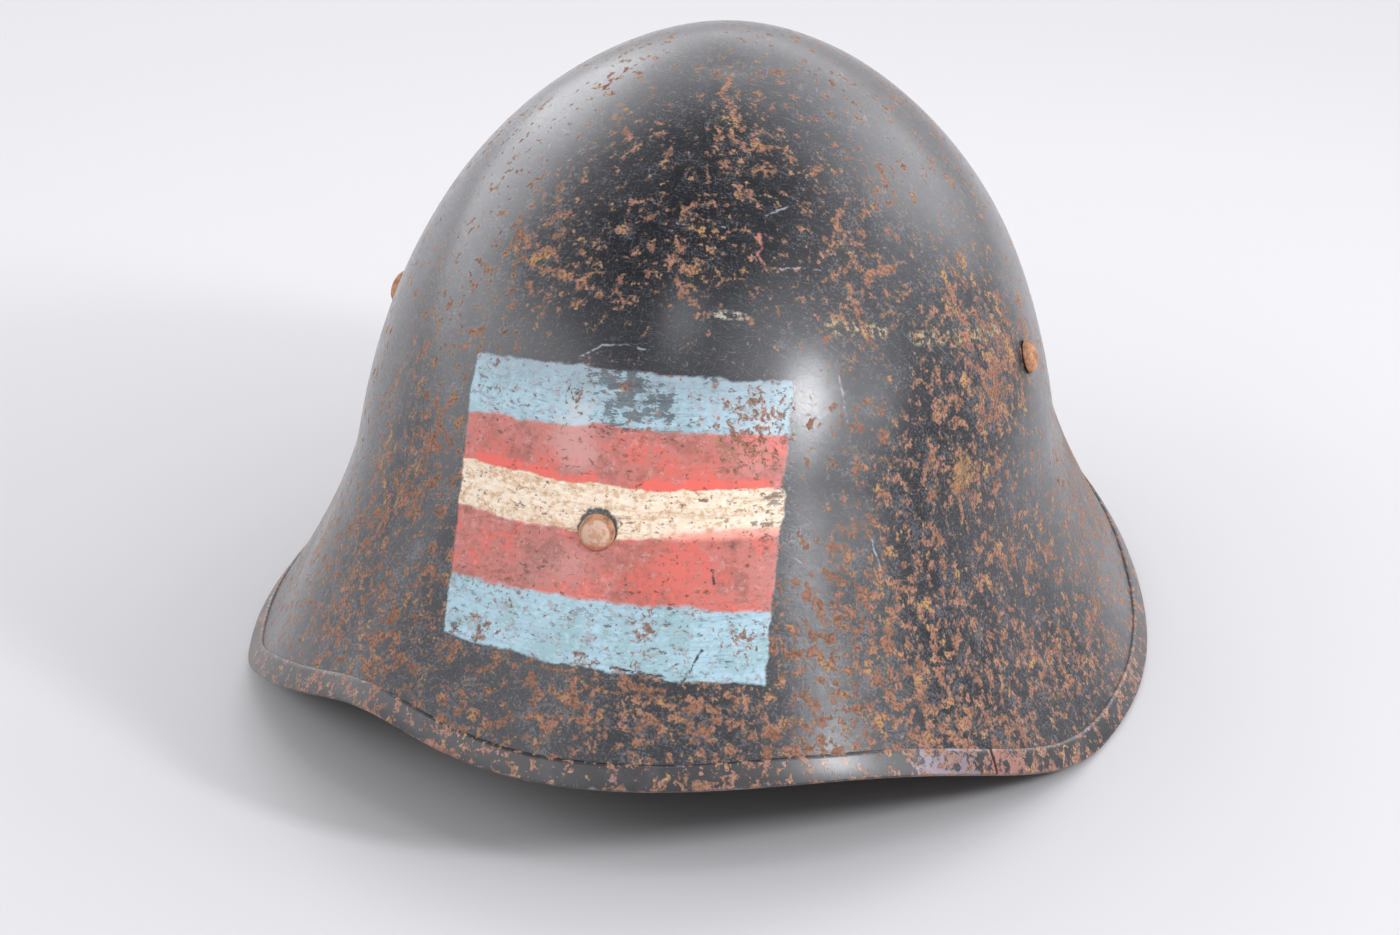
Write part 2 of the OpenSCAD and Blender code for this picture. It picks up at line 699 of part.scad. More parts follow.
module strap_short() {
    line = concat(strap_line(short_rise),
                  arc_line(bend_point(crown_bend_r - buckle_fold_r, buckle_angle), buckle_fold_r,
                           buckle_angle + 25, buckle_angle + 180, 7),
                  arc_line([bend_x, crown_bend_z], buckle_ply_r, buckle_angle - 10, buckle_angle - 26, 3));
    color("#5b3d27")
        difference() {
            strap_solid(-1, line);
            at_buckle()
                cube([10, prong_slot, 8], center = true);
            at_bend(-1, buckle_ply_r, buckle_rivet_angle)
                cylinder(h = 12, d = strap_rivet_bore, center = true, $fn = 32);
            strap_rivet_hole(-1);
        }
}

// Rivets through the two plies of a fold
strap_rivet_d = 2.6;
strap_rivet_bore = strap_rivet_d + 2 * press_gap;
strap_rivet_head_d = 7;
strap_rivet_head_h = 1.1;
strap_rivet_z = rise_z + 9;

module strap_rivet_hole(side) {
    rotate([0, 0, side > 0 ? 0 : 180])
        translate([stow_x - ply_step / 2, 0, strap_rivet_z])
            rotate([0, 90, 0])
                cylinder(h = 10, d = strap_rivet_bore, center = true, $fn = 32);
}

module two_headed_rivet() {
    half = strap_t + ply_gap / 2 + seat_gap;
    r = strap_rivet_head_d / 2;
    color("#a08c5a")
        rotate_extrude($fn = 48)
            polygon([[0, -half - strap_rivet_head_h], [r * 0.6, -half - strap_rivet_head_h],
                     [r, -half - 0.4], [r, -half], [strap_rivet_d / 2, -half], [strap_rivet_d / 2, half],
                     [r, half], [r, half + 0.4],
                     [r * 0.6, half + strap_rivet_head_h], [0, half + strap_rivet_head_h]]);
}

module strap_rivet(side) {
    rotate([0, 0, side > 0 ? 0 : 180])
        translate([stow_x - ply_step / 2, 0, strap_rivet_z])
            rotate([0, 90, 0])
                two_headed_rivet();
}

module buckle_rivet() {
    at_bend(-1, crown_bend_r - ply_step / 2, buckle_rivet_angle)
        two_headed_rivet();
}

// Puts its children at the buckle's bar, with their X axis from the bar towards the frame's far end
module at_buckle() {
    c = bend_point(crown_bend_r - buckle_fold_r, buckle_angle);
    rotate([0, 0, 180])
        translate([c[0], 0, c[1]])
            rotate([0, -90 - buckle_angle - buckle_tilt, 0])
                children();
}

module buckle_frame() {
    color("#9b8a5c")
        at_buckle()
            rotate([0, -90, 0])
                wire_frame(strap_width + 2, buckle_length, buckle_wire_d);
}

module buckle_prong() {
    eye_in = buckle_wire_d / 2 + turn_gap;
    eye_out = eye_in + prong_t;
    color("#9b8a5c")
        at_buckle()
            difference() {
                union() {
                    rotate([90, 0, 0])
                        cylinder(h = prong_width, r = eye_out, center = true, $fn = 48);
                    translate([0, -prong_width / 2, eye_in])
                        cube([buckle_length + buckle_wire_d / 2 + 1.5, prong_width, prong_t - 0.15]);
                }
                rotate([90, 0, 0])
                    cylinder(h = 2 * prong_width, r = eye_in, center = true, $fn = 48);
            }
}

// The keeper: a leather loop round the upright run of the short half
module keeper() {
    color("#6a482d")
        translate([-stow_x - strap_t / 2 - ply_gap - keeper_t, 0, keeper_z])
            difference() {
                translate([0, -strap_width / 2 - ply_gap - keeper_t, 0])
                    cube([keeper_room + 2 * keeper_t, strap_width + 2 * (ply_gap + keeper_t), keeper_length]);
                translate([keeper_t, -strap_width / 2 - ply_gap, -1])
                    cube([keeper_room, strap_width + 2 * ply_gap, keeper_length + 2]);
            }
}

shell();
rim_strip();
shell_rivet(0);  // rivet_front
shell_rivet(1);  // rivet_left
shell_rivet(2);  // rivet_rear
shell_rivet(3);  // rivet_right
washer(0);  // washer_front
washer(1);  // washer_left
washer(2);  // washer_rear
washer(3);  // washer_right
bracket(0);  // bracket_front
bracket(1);  // bracket_left
bracket(2);  // bracket_rear
bracket(3);  // bracket_right
liner_band();
band_rivet(0);  // band_rivet_front
band_rivet(1);  // band_rivet_left
band_rivet(2);  // band_rivet_rear
band_rivet(3);  // band_rivet_right
felt(0);  // felt_front
felt(1);  // felt_left
felt(2);  // felt_rear
felt(3);  // felt_right
headband();
leaf(0);  // leaf_1
leaf(1);  // leaf_2
leaf(2);  // leaf_3
leaf(3);  // leaf_4
leaf(4);  // leaf_5
leaf(5);  // leaf_6
leaf(6);  // leaf_7
leaf(7);  // leaf_8
crown_lace();
strap_tab(1);  // strap_tab_left
strap_tab(-1);  // strap_tab_right
strap_loop(1);  // strap_loop_left
strap_loop(-1);  // strap_loop_right
strap_long();
strap_short();
strap_rivet(1);  // strap_rivet_long
strap_rivet(-1);  // strap_rivet_short
buckle_rivet();
buckle_frame();
buckle_prong();
keeper();
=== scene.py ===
import math
from functools import partial

import bmesh
import bpy
import numpy as np
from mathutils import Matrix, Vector, noise


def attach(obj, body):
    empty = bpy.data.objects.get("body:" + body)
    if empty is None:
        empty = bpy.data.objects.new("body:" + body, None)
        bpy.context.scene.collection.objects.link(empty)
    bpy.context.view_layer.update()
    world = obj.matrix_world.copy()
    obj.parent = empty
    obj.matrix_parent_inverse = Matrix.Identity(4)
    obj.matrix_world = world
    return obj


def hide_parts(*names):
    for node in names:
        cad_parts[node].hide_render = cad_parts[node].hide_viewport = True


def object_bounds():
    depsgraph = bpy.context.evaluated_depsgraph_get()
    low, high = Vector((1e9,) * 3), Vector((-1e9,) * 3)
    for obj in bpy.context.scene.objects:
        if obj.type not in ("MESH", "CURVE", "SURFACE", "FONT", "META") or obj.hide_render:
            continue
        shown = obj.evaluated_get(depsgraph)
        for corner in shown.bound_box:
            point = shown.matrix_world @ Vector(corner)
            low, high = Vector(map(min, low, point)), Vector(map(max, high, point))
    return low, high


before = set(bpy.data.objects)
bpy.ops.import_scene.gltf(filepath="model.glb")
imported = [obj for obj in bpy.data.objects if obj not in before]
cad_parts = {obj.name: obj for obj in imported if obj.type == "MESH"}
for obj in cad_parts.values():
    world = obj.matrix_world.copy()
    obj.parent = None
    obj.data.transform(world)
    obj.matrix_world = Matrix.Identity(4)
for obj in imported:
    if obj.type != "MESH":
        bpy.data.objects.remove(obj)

# An old steel helmet: black enamel gone to rust, a rim of folded strip, a hand-painted patch
# of stripes round the front rivet, and a leather liner with its chinstrap buckled away inside.
# Front is -Y, the wearer's left is +X, and the side rims stand on the floor at Z = 0.

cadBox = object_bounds()
mm = 0.001


def note(stage):
    print("helmet:", stage)


# Colours are sRGB hex, and the shaders want them linear
def hexColour(code):
    parts = [int(code[i:i + 2], 16) / 255 for i in (1, 3, 5)]
    linear = [c / 12.92 if c <= 0.04045 else ((c + 0.055) / 1.055) ** 2.4 for c in parts]
    return (*linear, 1.0)


# Adds a node, with its settings and with what its inputs hold or are linked to. Each material calls
# it as add, with its own node tree already given.
def addNode(tree, kind, settings=None, *values, **named):
    node = tree.nodes.new("ShaderNode" + kind)
    for name, value in (settings or {}).items():
        setattr(node, name, value)
    fillSockets(node, *values, **named)
    return node


# Values fill a node's inputs in order or by name. A node given as a value is linked, and a hex
# colour turned to linear. A noise's inputs are its place, scale (1 over a size in mm), detail and
# roughness, and a map range's its value, two limits and what they give, which is 0 and 1 if left out.
def fillSockets(node, *values, **named):
    sockets = [socket for socket in node.inputs if socket.enabled]
    byName = {socket.name.replace(" ", ""): socket for socket in reversed(sockets)}
    pairs = list(zip(sockets, values)) + [(byName[name], value) for name, value in named.items()]
    for socket, value in pairs:
        if isinstance(value, bpy.types.Node):
            value = next(output for output in value.outputs if output.enabled)
        if isinstance(value, bpy.types.NodeSocket):
            node.id_data.links.new(value, socket)
        else:
            socket.default_value = hexColour(value) if isinstance(value, str) else value


# Settings that many nodes share
plus, minus, times = {"operation": "ADD"}, {"operation": "SUBTRACT"}, {"operation": "MULTIPLY"}
timesPlus, larger = {"operation": "MULTIPLY_ADD"}, {"operation": "MAXIMUM"}
timesClamped, minusClamped = {**times, "use_clamp": True}, {**minus, "use_clamp": True}
distance, dot = {"operation": "DISTANCE"}, {"operation": "DOT_PRODUCT"}
smooth, colours = {"interpolation_type": "SMOOTHSTEP"}, {"data_type": "RGBA"}
numbers = {"data_type": "FLOAT"}


def newMaterial(name):
    material = bpy.data.materials.new(name)
    material.use_nodes = True
    material.node_tree.nodes.clear()
    add = partial(addNode, material.node_tree)
    shader = add("BsdfPrincipled")
    add("OutputMaterial", {}, Surface=shader)
    return material, add, shader


# Places on the object in millimetres, for patterns with real sizes
def millimetres(add):
    place = add("TexCoord").outputs["Object"]
    return add("VectorMath", {"operation": "SCALE"}, place, Scale=1000.0)


# The direction toward an angle from the front and a height over the level, both in radians
def direction(turn, lift):
    return Vector((math.sin(turn) * math.cos(lift), -math.cos(turn) * math.cos(lift), math.sin(lift)))


# Camera: a long lens from the front left, about 25 degrees above the level
camera = {
    "target": (-0.7 * mm, -6.4 * mm, 51.1 * mm),
    "distance": 1247.3 * mm,
    "azimuth": 13.88,
    "elevation": 25.42,
    "roll": 0.71,
    "lens": 117.7,
    "sensor": 36,
    "clipFrom": 0.05,
}


def makeCamera():
    away = direction(math.radians(camera["azimuth"]), math.radians(camera["elevation"]))
    data = bpy.data.cameras.new("camera")
    data.lens = camera["lens"]
    data.sensor_width = camera["sensor"]
    data.clip_start = camera["clipFrom"]
    eye = bpy.data.objects.new("camera", data)
    eye.location = Vector(camera["target"]) + away * camera["distance"]
    eye.rotation_euler = away.to_track_quat("Z", "Y").to_euler()
    eye.rotation_euler.rotate_axis("Z", math.radians(camera["roll"]))
    bpy.context.scene.collection.objects.link(eye)
    bpy.context.scene.camera = eye


makeCamera()
note("camera")

# The shell's form, in millimetres and degrees: a dome whose plan is a rounded oval, with flares
dome = {
    "height": 170, "front": 123, "rear": 127, "side": 96.5, "lean": 14, "sheet": 1.2,
    "frontFullness": 2.8, "rearFullness": 2.4, "sideFullness": 2.9, "shoulder": 1.72, "planPower": 1.95,
    "visorFlare": 22, "guardFlare": 27, "sideFlare": 25.5, "endFlareHeight": 78, "sideFlareHeight": 62,
    "endFlarePower": 2.1, "sideFlarePower": 1.65,
    "visorRise": 29, "guardRise": 10.5, "visorAngle": 74, "guardAngle": 76, "visorArch": 0.8,
    "visorWave": 7, "guardWave": 5, "edgeLift": 0.75, "knockRise": 4.4, "knockAngle": -24.5, "knockWidth": 11,
}


# An angle brought to between -180 and 180 degrees
def wrapped(angle):
    return (angle + 180) % 360 - 180


# How high the shell's edge stands over its lowest point, at angles from the front
def rimHeight(angle):
    off = np.abs(wrapped(angle))
    visor = np.radians(np.minimum(off / dome["visorAngle"], 1) * 180)
    guard = np.radians(np.minimum((180 - off) / dome["guardAngle"], 1) * 180)
    knock = wrapped(angle - dome["knockAngle"])
    return (dome["visorRise"] * ((1 + np.cos(visor)) / 2) ** dome["visorArch"]
            + dome["visorWave"] * np.sin(visor) ** 2
            + dome["guardRise"] * (1 + np.cos(guard)) / 2 + dome["guardWave"] * np.sin(guard) ** 2
            + dome["knockRise"] * np.exp(-(knock / dome["knockWidth"]) ** 2))


# The share of its full reach that the dome has at a share of its height
def fullAt(share, fullness):
    return np.maximum(1 - np.sign(share) * np.abs(share) ** fullness, 0) ** (1 / dome["shoulder"])


def flareAt(rise, height, power):
    return np.clip(1 - rise / height, 0, 1.2) ** power


# How far the shell reaches from its axis, at angles from the front and heights
def domeReach(angle, z):
    share, rise = z / dome["height"], z - rimHeight(angle)
    front = np.abs(wrapped(angle)) < 90
    endFlare = flareAt(rise, dome["endFlareHeight"], dome["endFlarePower"])
    toFront = dome["front"] * fullAt(share, dome["frontFullness"]) + dome["visorFlare"] * endFlare
    toRear = dome["rear"] * fullAt(share, dome["rearFullness"]) + dome["guardFlare"] * endFlare
    along = np.where(front, toFront, toRear)
    across = (dome["side"] * fullAt(share, dome["sideFullness"])
              + dome["sideFlare"] * flareAt(rise, dome["sideFlareHeight"], dome["sideFlarePower"]))
    turn, power = np.radians(angle), dome["planPower"]
    along, across = np.maximum(along, 1e-6), np.maximum(across, 1e-6)
    lengthwise, crosswise = np.abs(np.cos(turn)) / along, np.abs(np.sin(turn)) / across
    return (lengthwise ** power + crosswise ** power) ** (-1 / power)


def leanAt(z):
    return dome["lean"] * z / dome["height"]


frontReach = domeReach(0.0, dome["visorRise"]) - leanAt(dome["visorRise"])
rearReach = domeReach(180.0, dome["guardRise"]) + leanAt(dome["guardRise"])
centreY = float(frontReach - rearReach) / 2


# Points of the smooth outer surface in metres, at angles from the front and heights in mm
def outerPoint(angle, z):
    reach, turn = domeReach(angle, z), np.radians(angle)
    x, y = reach * np.sin(turn), -reach * np.cos(turn) + centreY + leanAt(z)
    return np.stack([x, y, z + dome["edgeLift"] + 0 * x], -1) * mm


def outwardNormal(angle, z, probe=0.5):
    across = outerPoint(angle + probe, z) - outerPoint(angle - probe, z)
    upward = outerPoint(angle, z + probe) - outerPoint(angle, np.maximum(z - probe, 0))
    normal = np.cross(across, upward)
    return normal / np.maximum(np.linalg.norm(normal, axis=-1, keepdims=True), 1e-12)


def makeObject(name, points, faces, material, body):
    mesh = bpy.data.meshes.new(name)
    mesh.from_pydata([tuple(p) for p in points], [], faces)
    mesh.validate()
    mesh.update()
    mesh.shade_smooth()
    mesh.materials.append(material)
    piece = bpy.data.objects.new(name, mesh)
    bpy.context.scene.collection.objects.link(piece)
    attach(piece, body)
    return piece


# Turns all faces outward, drops points that no face uses, and keeps edges over the angle sharp
def fixNormals(piece, sharpAngle=None):
    builder = bmesh.new()
    builder.from_mesh(piece.data)
    unused = [v for v in builder.verts if not v.link_faces]
    bmesh.ops.delete(builder, geom=unused, context="VERTS")
    bmesh.ops.recalc_face_normals(builder, faces=builder.faces)
    builder.to_mesh(piece.data)
    builder.free()
    if sharpAngle:
        piece.data.set_sharp_from_angle(angle=math.radians(sharpAngle))


# Faces between rows of n points. Each row is a ring or an open line, and the rows too may close on
# themselves.
def rowFaces(rows, n, first=0, flip=False, rings=True, looped=False):
    faces = []
    for j in range(rows if looped else rows - 1):
        near, far = first + j * n, first + (j + 1) % rows * n
        for i in range(n if rings else n - 1):
            k = (i + 1) % n
            face = (near + i, near + k, far + k, far + i)
            faces.append((face[0], face[3], face[2], face[1]) if flip else face)
    return faces


# A sheet of two layers, each of some rows of n points, closed along its four edges
def sheetFaces(rows, n):
    layer = rows * n
    faces = rowFaces(rows, n, rings=False) + rowFaces(rows, n, first=layer, flip=True, rings=False)
    for i in range(n - 1):
        a = (rows - 1) * n + i
        faces.append((i, i + 1, layer + i + 1, layer + i))
        faces.append((a, layer + a, layer + a + 1, a + 1))
    for j in range(rows - 1):
        a, b = j * n, (j + 1) * n
        faces.append((a, layer + a, layer + b, b))
        a, b = a + n - 1, b + n - 1
        faces.append((a, b, layer + b, layer + a))
    return faces


# Where rust has broken through, as places on the shell: angle from the front, height and reach in mm.
# The last value is how much more (or, below zero, less) rust there is than elsewhere.
rustBase = 0.22
rustPlaces = [
    (50, 46, 40, 40, 0.50), (-36, 52, 30, 28, 0.52), (8, 38, 30, 16, 0.28), (80, 98, 17, 14, 0.95),
    (61, 80, 13, 10, 0.35), (48, 24, 13, 12, 0.30), (80, 20, 12, 10, 0.40), (28, 164, 15, 9, 0.42),
    (-27, 136, 15, 9, 0.62), (12, 139, 10, 8, 0.55), (57, 142, 13, 10, 0.45), (48, 126, 10, 8, 0.50),
    (76, 119, 13, 9, 0.45), (-34, 84, 12, 18, 0.42), (40, 96, 8, 12, 0.30), (-8, 150, 20, 8, 0.15),
    (-38, 116, 14, 10, 0.30), (0, 122, 20, 8, -0.30), (24, 118, 10, 9, -0.35), (31, 92, 6, 13, -0.35),
    (32, 58, 8, 18, 0.32), (150, 52, 36, 38, 0.60), (-140, 60, 38, 36, 0.55), (-95, 88, 22, 24, 0.35),
    (175, 128, 30, 18, 0.45), (-100, 32, 26, 22, 0.40), (118, 34, 26, 24, 0.40), (-160, 20, 30, 14, 0.30),
    (-120, 135, 24, 16, 0.35), (125, 148, 22, 12, 0.30),
]


def rustAt(points):
    x, y, z = (points / mm).T
    angle = np.degrees(np.arctan2(x, centreY - y))
    amount = np.full(len(points), rustBase)
    for middle, height, turn, rise, more in rustPlaces:
        off = wrapped(angle - middle)
        amount += more * np.exp(-(off / turn) ** 2 - ((z - height) / rise) ** 2)
    return amount


# Shallow knocks in the sheet: angle from the front, height, reach and depth in mm
dents = [(20, 168, 7, 0.45), (-64, 120, 16, 0.35), (105, 96, 20, 0.5), (148, 130, 17, 0.6),
         (205, 70, 22, 0.7), (248, 118, 14, 0.5), (172, 52, 14, 0.4), (290, 60, 18, 0.4), (48, 128, 16, 0.2)]
ripple = {"size": 55, "depth": 0.28, "fineSize": 17, "fineDepth": 0.05, "calmFrom": 7, "calmRim": 14}


# How far hand and years have moved the sheet along its normal, in metres; nothing at the rim strip
def sheetWaves(points, rise):
    moved = np.zeros(len(points))
    for i, p in enumerate(points):
        fine = Vector(p) / (ripple["fineSize"] * mm) + Vector((7, 3, 1))
        moved[i] = ripple["depth"] * noise.noise(Vector(p) / (ripple["size"] * mm))
        moved[i] += ripple["fineDepth"] * noise.noise(fine)
    for angle, z, reach, depth in dents:
        middle = outerPoint(np.array(float(angle)), np.array(float(z)))
        far = np.linalg.norm(points - middle, axis=1) / (reach * mm)
        moved -= depth * np.exp(-far ** 2)
    return moved * mm * np.clip((rise - ripple["calmFrom"]) / ripple["calmRim"], 0, 1)


# The shell's two skins, from the crown down to the edge, and the narrow faces that join them
def makeShell(outside, inside):
    around, rows, innerRows = 480, 150, 60
    angles = np.arange(around) * 360.0 / around

    def skin(count):
        low = rimHeight(angles)
        share = 1 - np.cos(np.radians(90 * (np.arange(count) + 1) / count))
        z = dome["height"] - (dome["height"] - low)[None, :] * share[:, None]
        turned = np.broadcast_to(angles, z.shape)
        points = outerPoint(turned, z).reshape(-1, 3)
        normals = outwardNormal(turned, z).reshape(-1, 3)
        rise = (z - low[None, :]).reshape(-1)
        return points, normals, rise

    outer, outerNormals, outerRise = skin(rows)
    waves = sheetWaves(outer, outerRise)
    inner, innerNormals, innerRise = skin(innerRows)
    innerWaves = sheetWaves(inner, innerRise)
    top = np.array([0, centreY + dome["lean"], dome["height"] + dome["edgeLift"]]) * mm
    sheet = dome["sheet"] * mm
    points = np.concatenate([outer + outerNormals * waves[:, None],
                             inner + innerNormals * (innerWaves - sheet)[:, None],
                             [top, top - np.array([0, 0, sheet])]])
    total = len(outer)
    faces = rowFaces(rows, around, flip=True) + rowFaces(innerRows, around, first=total)
    outerEdge, innerEdge = (rows - 1) * around, total + (innerRows - 1) * around
    tips = len(points) - 2
    for i in range(around):
        k = (i + 1) % around
        faces.append((outerEdge + i, innerEdge + i, innerEdge + k, outerEdge + k))
        faces.append((tips, i, k))
        faces.append((tips + 1, total + k, total + i))
    piece = makeObject("helmet_shell", points, faces, outside, "helmet")
    piece.data.materials.append(inside)
    outerFaces = (rows - 1) * around
    innerFaces = outerFaces + (innerRows - 1) * around
    inward = np.zeros(len(piece.data.polygons), dtype=np.int32)
    inward[outerFaces:innerFaces] = 1
    inward[innerFaces + 2::3] = 1
    piece.data.polygons.foreach_set("material_index", inward)
    paintMarks(piece)
    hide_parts("shell")
    return piece


# The rim: a strip of thin sheet folded over the edge, with its two ends meeting at the front left,
# and hammered a little uneven: sizes and depths of its waves in mm
rim = {
    "height": 6.5, "sheet": 0.6, "gap": 0.15, "seamAngle": 49.5, "seamWidth": 0.6, "lip": 0.3, "around": 720,
    "waveSize": 26, "wave": 0.35, "jitterSize": 7, "jitter": 0.12, "bulgeSize": 11, "bulge": 0.10,
    "endLift": 0.22, "endCurl": 6, "sharp": 38,
}


def stripSection():
    g, t, inside = rim["gap"], rim["sheet"], -dome["sheet"] - rim["gap"]
    top = rim["height"] - rim["lip"]
    # The outer leaf is pressed against the shell at its edge, with paint in the corner
    section = [(top, -0.02), (top + 0.05, 0.35 * t), (top - 0.1, g + 0.7 * t), (top - 0.35, g + t),
               (top - 1.2, g + t), (top * 0.5, g + t + 0.06), (0.6, g + t)]
    middle, half = (g + t + inside - t) / 2, (g + t - inside + t) / 2
    for k in range(1, 8):
        turn = math.pi * k / 8
        section.append((-g - t * math.sin(turn) ** 0.8, middle + half * math.cos(turn)))
    section += [(0.6, inside - t), (top - 0.3, inside - t), (top, inside - 0.7 * t), (top, inside),
                (-g, inside), (-g, g)]
    return section


def makeRim(material):
    seam, count = rim["seamAngle"], rim["around"]
    seamTurn = rim["seamWidth"] / (2 * float(domeReach(seam, rimHeight(seam)))) * 180 / math.pi
    turns = np.linspace(seam + seamTurn, seam + 360 - seamTurn, count)
    low = rimHeight(turns)
    edge, top = outerPoint(turns, low), outerPoint(turns, low + rim["height"])
    up = top - edge
    up /= np.linalg.norm(up, axis=1, keepdims=True)
    normal = outwardNormal(turns, low)
    out = normal - up * (normal * up).sum(1, keepdims=True)
    out /= np.linalg.norm(out, axis=1, keepdims=True)
    section, topEdge = stripSection(), rim["height"] - rim["lip"]
    n, points, rub = len(section), [], []
    for i in range(count):
        spot = Vector(edge[i])
        uneven = (rim["wave"] * noise.noise(spot / (rim["waveSize"] * mm))
                  + rim["jitter"] * noise.noise(spot / (rim["jitterSize"] * mm)))
        bulge = rim["bulge"] * noise.noise(spot / (rim["bulgeSize"] * mm) + Vector((5, 0, 2)))
        # One end of the strip stands a little proud at the seam, and the other is pressed in
        end = min(i, count - 1 - i) / rim["endCurl"]
        lift = rim["endLift"] * math.exp(-end * end) * (1 if i < count / 2 else -0.3)
        for along, away in section:
            rise = along + (uneven if along > 3 else uneven * 0.15 if along > 0.3 else 0)
            side = away + (bulge + lift if away > -0.3 else bulge * 0.4)
            points.append(edge[i] + (up[i] * rise + out[i] * side) * mm)
            # 1 round the folded bottom, where the strip is worn, and along the top edge, where it paints a
            # highlight on the crease
            rub.append(1.0 if along < 0 or abs(along - topEdge) < 0.4 else 0.0)
    faces = rowFaces(count, n)
    faces.append(tuple(range(n)))
    faces.append(tuple((count - 1) * n + k for k in reversed(range(n))))
    piece = makeObject("rim_fold", points, faces, material, "helmet")
    fixNormals(piece, rim["sharp"])
    addLayer(piece, "rub", rub)
    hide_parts("rim_strip")
    return piece


# Black enamel, sprayed on steel over a red primer: a hard thin film, dull with fine scratches under a
# thin glossy skin, that rust has lifted in ragged specks of 1 to 4 mm. Sizes in mm.
enamel = {
    "black": "#0f1118", "dust": "#42444c", "fleck": "#74737a", "hairline": "#a5a6b2", "pale": "#c9c4b4",
    "redLine": "#b8776b", "yellow": "#b8a67c", "amber": "#b98d55",
    "roughness": 0.42, "coat": 0.75, "coatRoughness": 0.2, "ior": 1.38,
    "hazeSize": 26.0, "fleckSize": 0.7, "fleckGroup": 7.0, "grainSize": 0.5, "relief": 0.12,
}
# Rust: its tones, the sizes of its islands in mm with the share of each in the pattern, the level at
# which it breaks through, how much the shell's map moves that level, and how soft its border is
corrosion = {
    "brown": "#916857", "pink": "#a57b69", "ochre": "#b28e60", "dark": "#6c4e3b", "stain": "#6b5a48",
    "group": (14.0, 0.14), "cluster": (3.0, 0.60), "speck": (1.1, 0.26),
    "level": 0.606, "gain": 0.1, "soft": 0.034, "stainReach": 0.05,
    "toneSize": 5.0, "crustSize": 0.7, "roughness": 0.9,
}

# Brush-painted stripes round the front rivet: pale blue, red, cream, red and pale blue again.
# Each boundary has its height in mm at the middle, its fall at the sides and its tilt to the right.
patch = {
    "halfWidth": 41.2, "middleTop": 0.1, "middleDrop": 0.0587, "wobble": 0.65, "raggedness": 1.0,
    "top": (117.6, 4.6, 0.6), "upperBlue": (105.7, 4.0, 1.0), "upperRed": (93.4, 2.4, 0.2),
    "cream": (82.4, 1.0, 0.0), "lowerRed": (68.6, 3.0, -0.8), "bottom": (53.9, 1.6, -2.2),
    "blue": "#a9c8d5", "blueDeep": "#9cb8c5", "blueWorn": "#6f7a88", "blueStain": "#9a9094",
    "blueGrey": "#8c98a3", "blueTeal": "#93b3b9", "bluePale": "#bcd9e6", "blueFaded": "#c9cbd0",
    "red": "#c0746c", "redFresh": "#d96a5f", "redFaded": "#cf9c97", "redBrown": "#955b50",
    "creamLight": "#efdcc6", "creamDull": "#d2ad88", "creamStain": "#b8926e", "creamPale": "#fbf1e4",
    "coral": "#ea9185", "vermilion": "#e8685c", "bare": "#34353b",
    "strokeSize": 8.0, "bristle": 1.6, "cloudSize": 9.0, "mottleSize": 2.4, "grainSize": 0.9, "chipSize": 1.5,
    "spotSize": 1.7, "rivetPlace": (0.0, -113.0, 83.0), "rivetBare": (6.4, 7.0), "coatLoss": 0.62,
}

# Marks on the patch, as places on the front in mm (x, z), reach in mm and strength
patchRust = [
    (-11, 111, 2.2, 1.3), (24, 115, 1.6, 0.9), (33, 111, 2.6, 1.2), (38, 108, 3, 0.8), (-34, 113, 1.6, 0.9),
    (38, 60, 3.2, 1.3), (15, 63, 3.6, 1.2), (-27, 58, 3.2, 1.2), (24, 59, 1.5, 1.1), (0, 55, 3.2, 1.2),
    (31, 97, 3, 0.5), (-4, 96, 2, 0.5), (19, 90, 2, 0.45), (40, 80, 3, 0.7), (-39, 93, 2, 0.6),
    (8, 106, 6, 0.45), (30, 105, 8, 0.75), (-20, 67, 4, 0.4), (10, 53, 3, 0.8), (27, 68, 3, 0.5),
    (36, 101, 6, 0.6),
]
patchWear = [
    (-4, 117, 7, 0.9), (1, 114, 4, 0.6), (4, 115, 3, 0.8), (10, 113, 3, 0.8), (14, 114, 2.5, 0.8),
    (1, 108, 4.5, 0.75), (7, 107, 3.5, 0.7), (12, 109, 3, 0.9), (-37, 108, 2.6, 0.8),
    (-36, 112, 2, 0.6), (40, 85, 3.4, 1.0), (42, 90, 2.6, 1.0), (39, 81, 2.4, 0.7), (5, 87, 1.6, 0.9),
    (8, 86, 1.2, 0.8), (-35, 63, 2, 0.9), (-35, 58, 2, 0.9), (-34, 55, 2.4, 0.7), (34, 64, 1.8, 1.0),
    (29, 63, 1.6, 0.9), (16, 61, 1.4, 0.9), (41, 103, 3, 0.8), (43, 110, 2.4, 0.7), (40, 98, 2.4, 0.7),
    (21, 53, 2.5, 0.8), (-39, 88, 2, 0.9), (42, 66, 2, 0.8), (12, 53, 2.4, 0.7), (-33, 103, 2.2, 0.6),
    (21, 115, 2.4, 0.5), (4, 111, 12, 0.30),
]
patchFade = [
    (-11, 101, 6.5, 1.0), (-6, 98, 5, 0.8), (-5, 76, 6, 0.7), (-9, 108, 4, 0.9), (37, 107, 4, 0.9),
    (35, 97, 5, 0.6), (-15, 73, 6, 0.4), (40, 75, 4, 0.4), (28, 109, 10, 0.45),
]
patchFresh = [
    (-30, 91.5, 7, 1.0), (-16, 93, 6, 0.9), (-4, 94, 5, 0.6), (12, 93.4, 5, 0.7), (24, 92.6, 6, 1.0),
    (36, 92, 5, 0.7), (18, 78, 9, 0.5), (29, 72, 10, 0.6), (12, 70, 7, 0.5), (-31, 71, 6, 0.3),
    (22, 99, 8, 0.25), (-38, 99, 4, 0.5),
]


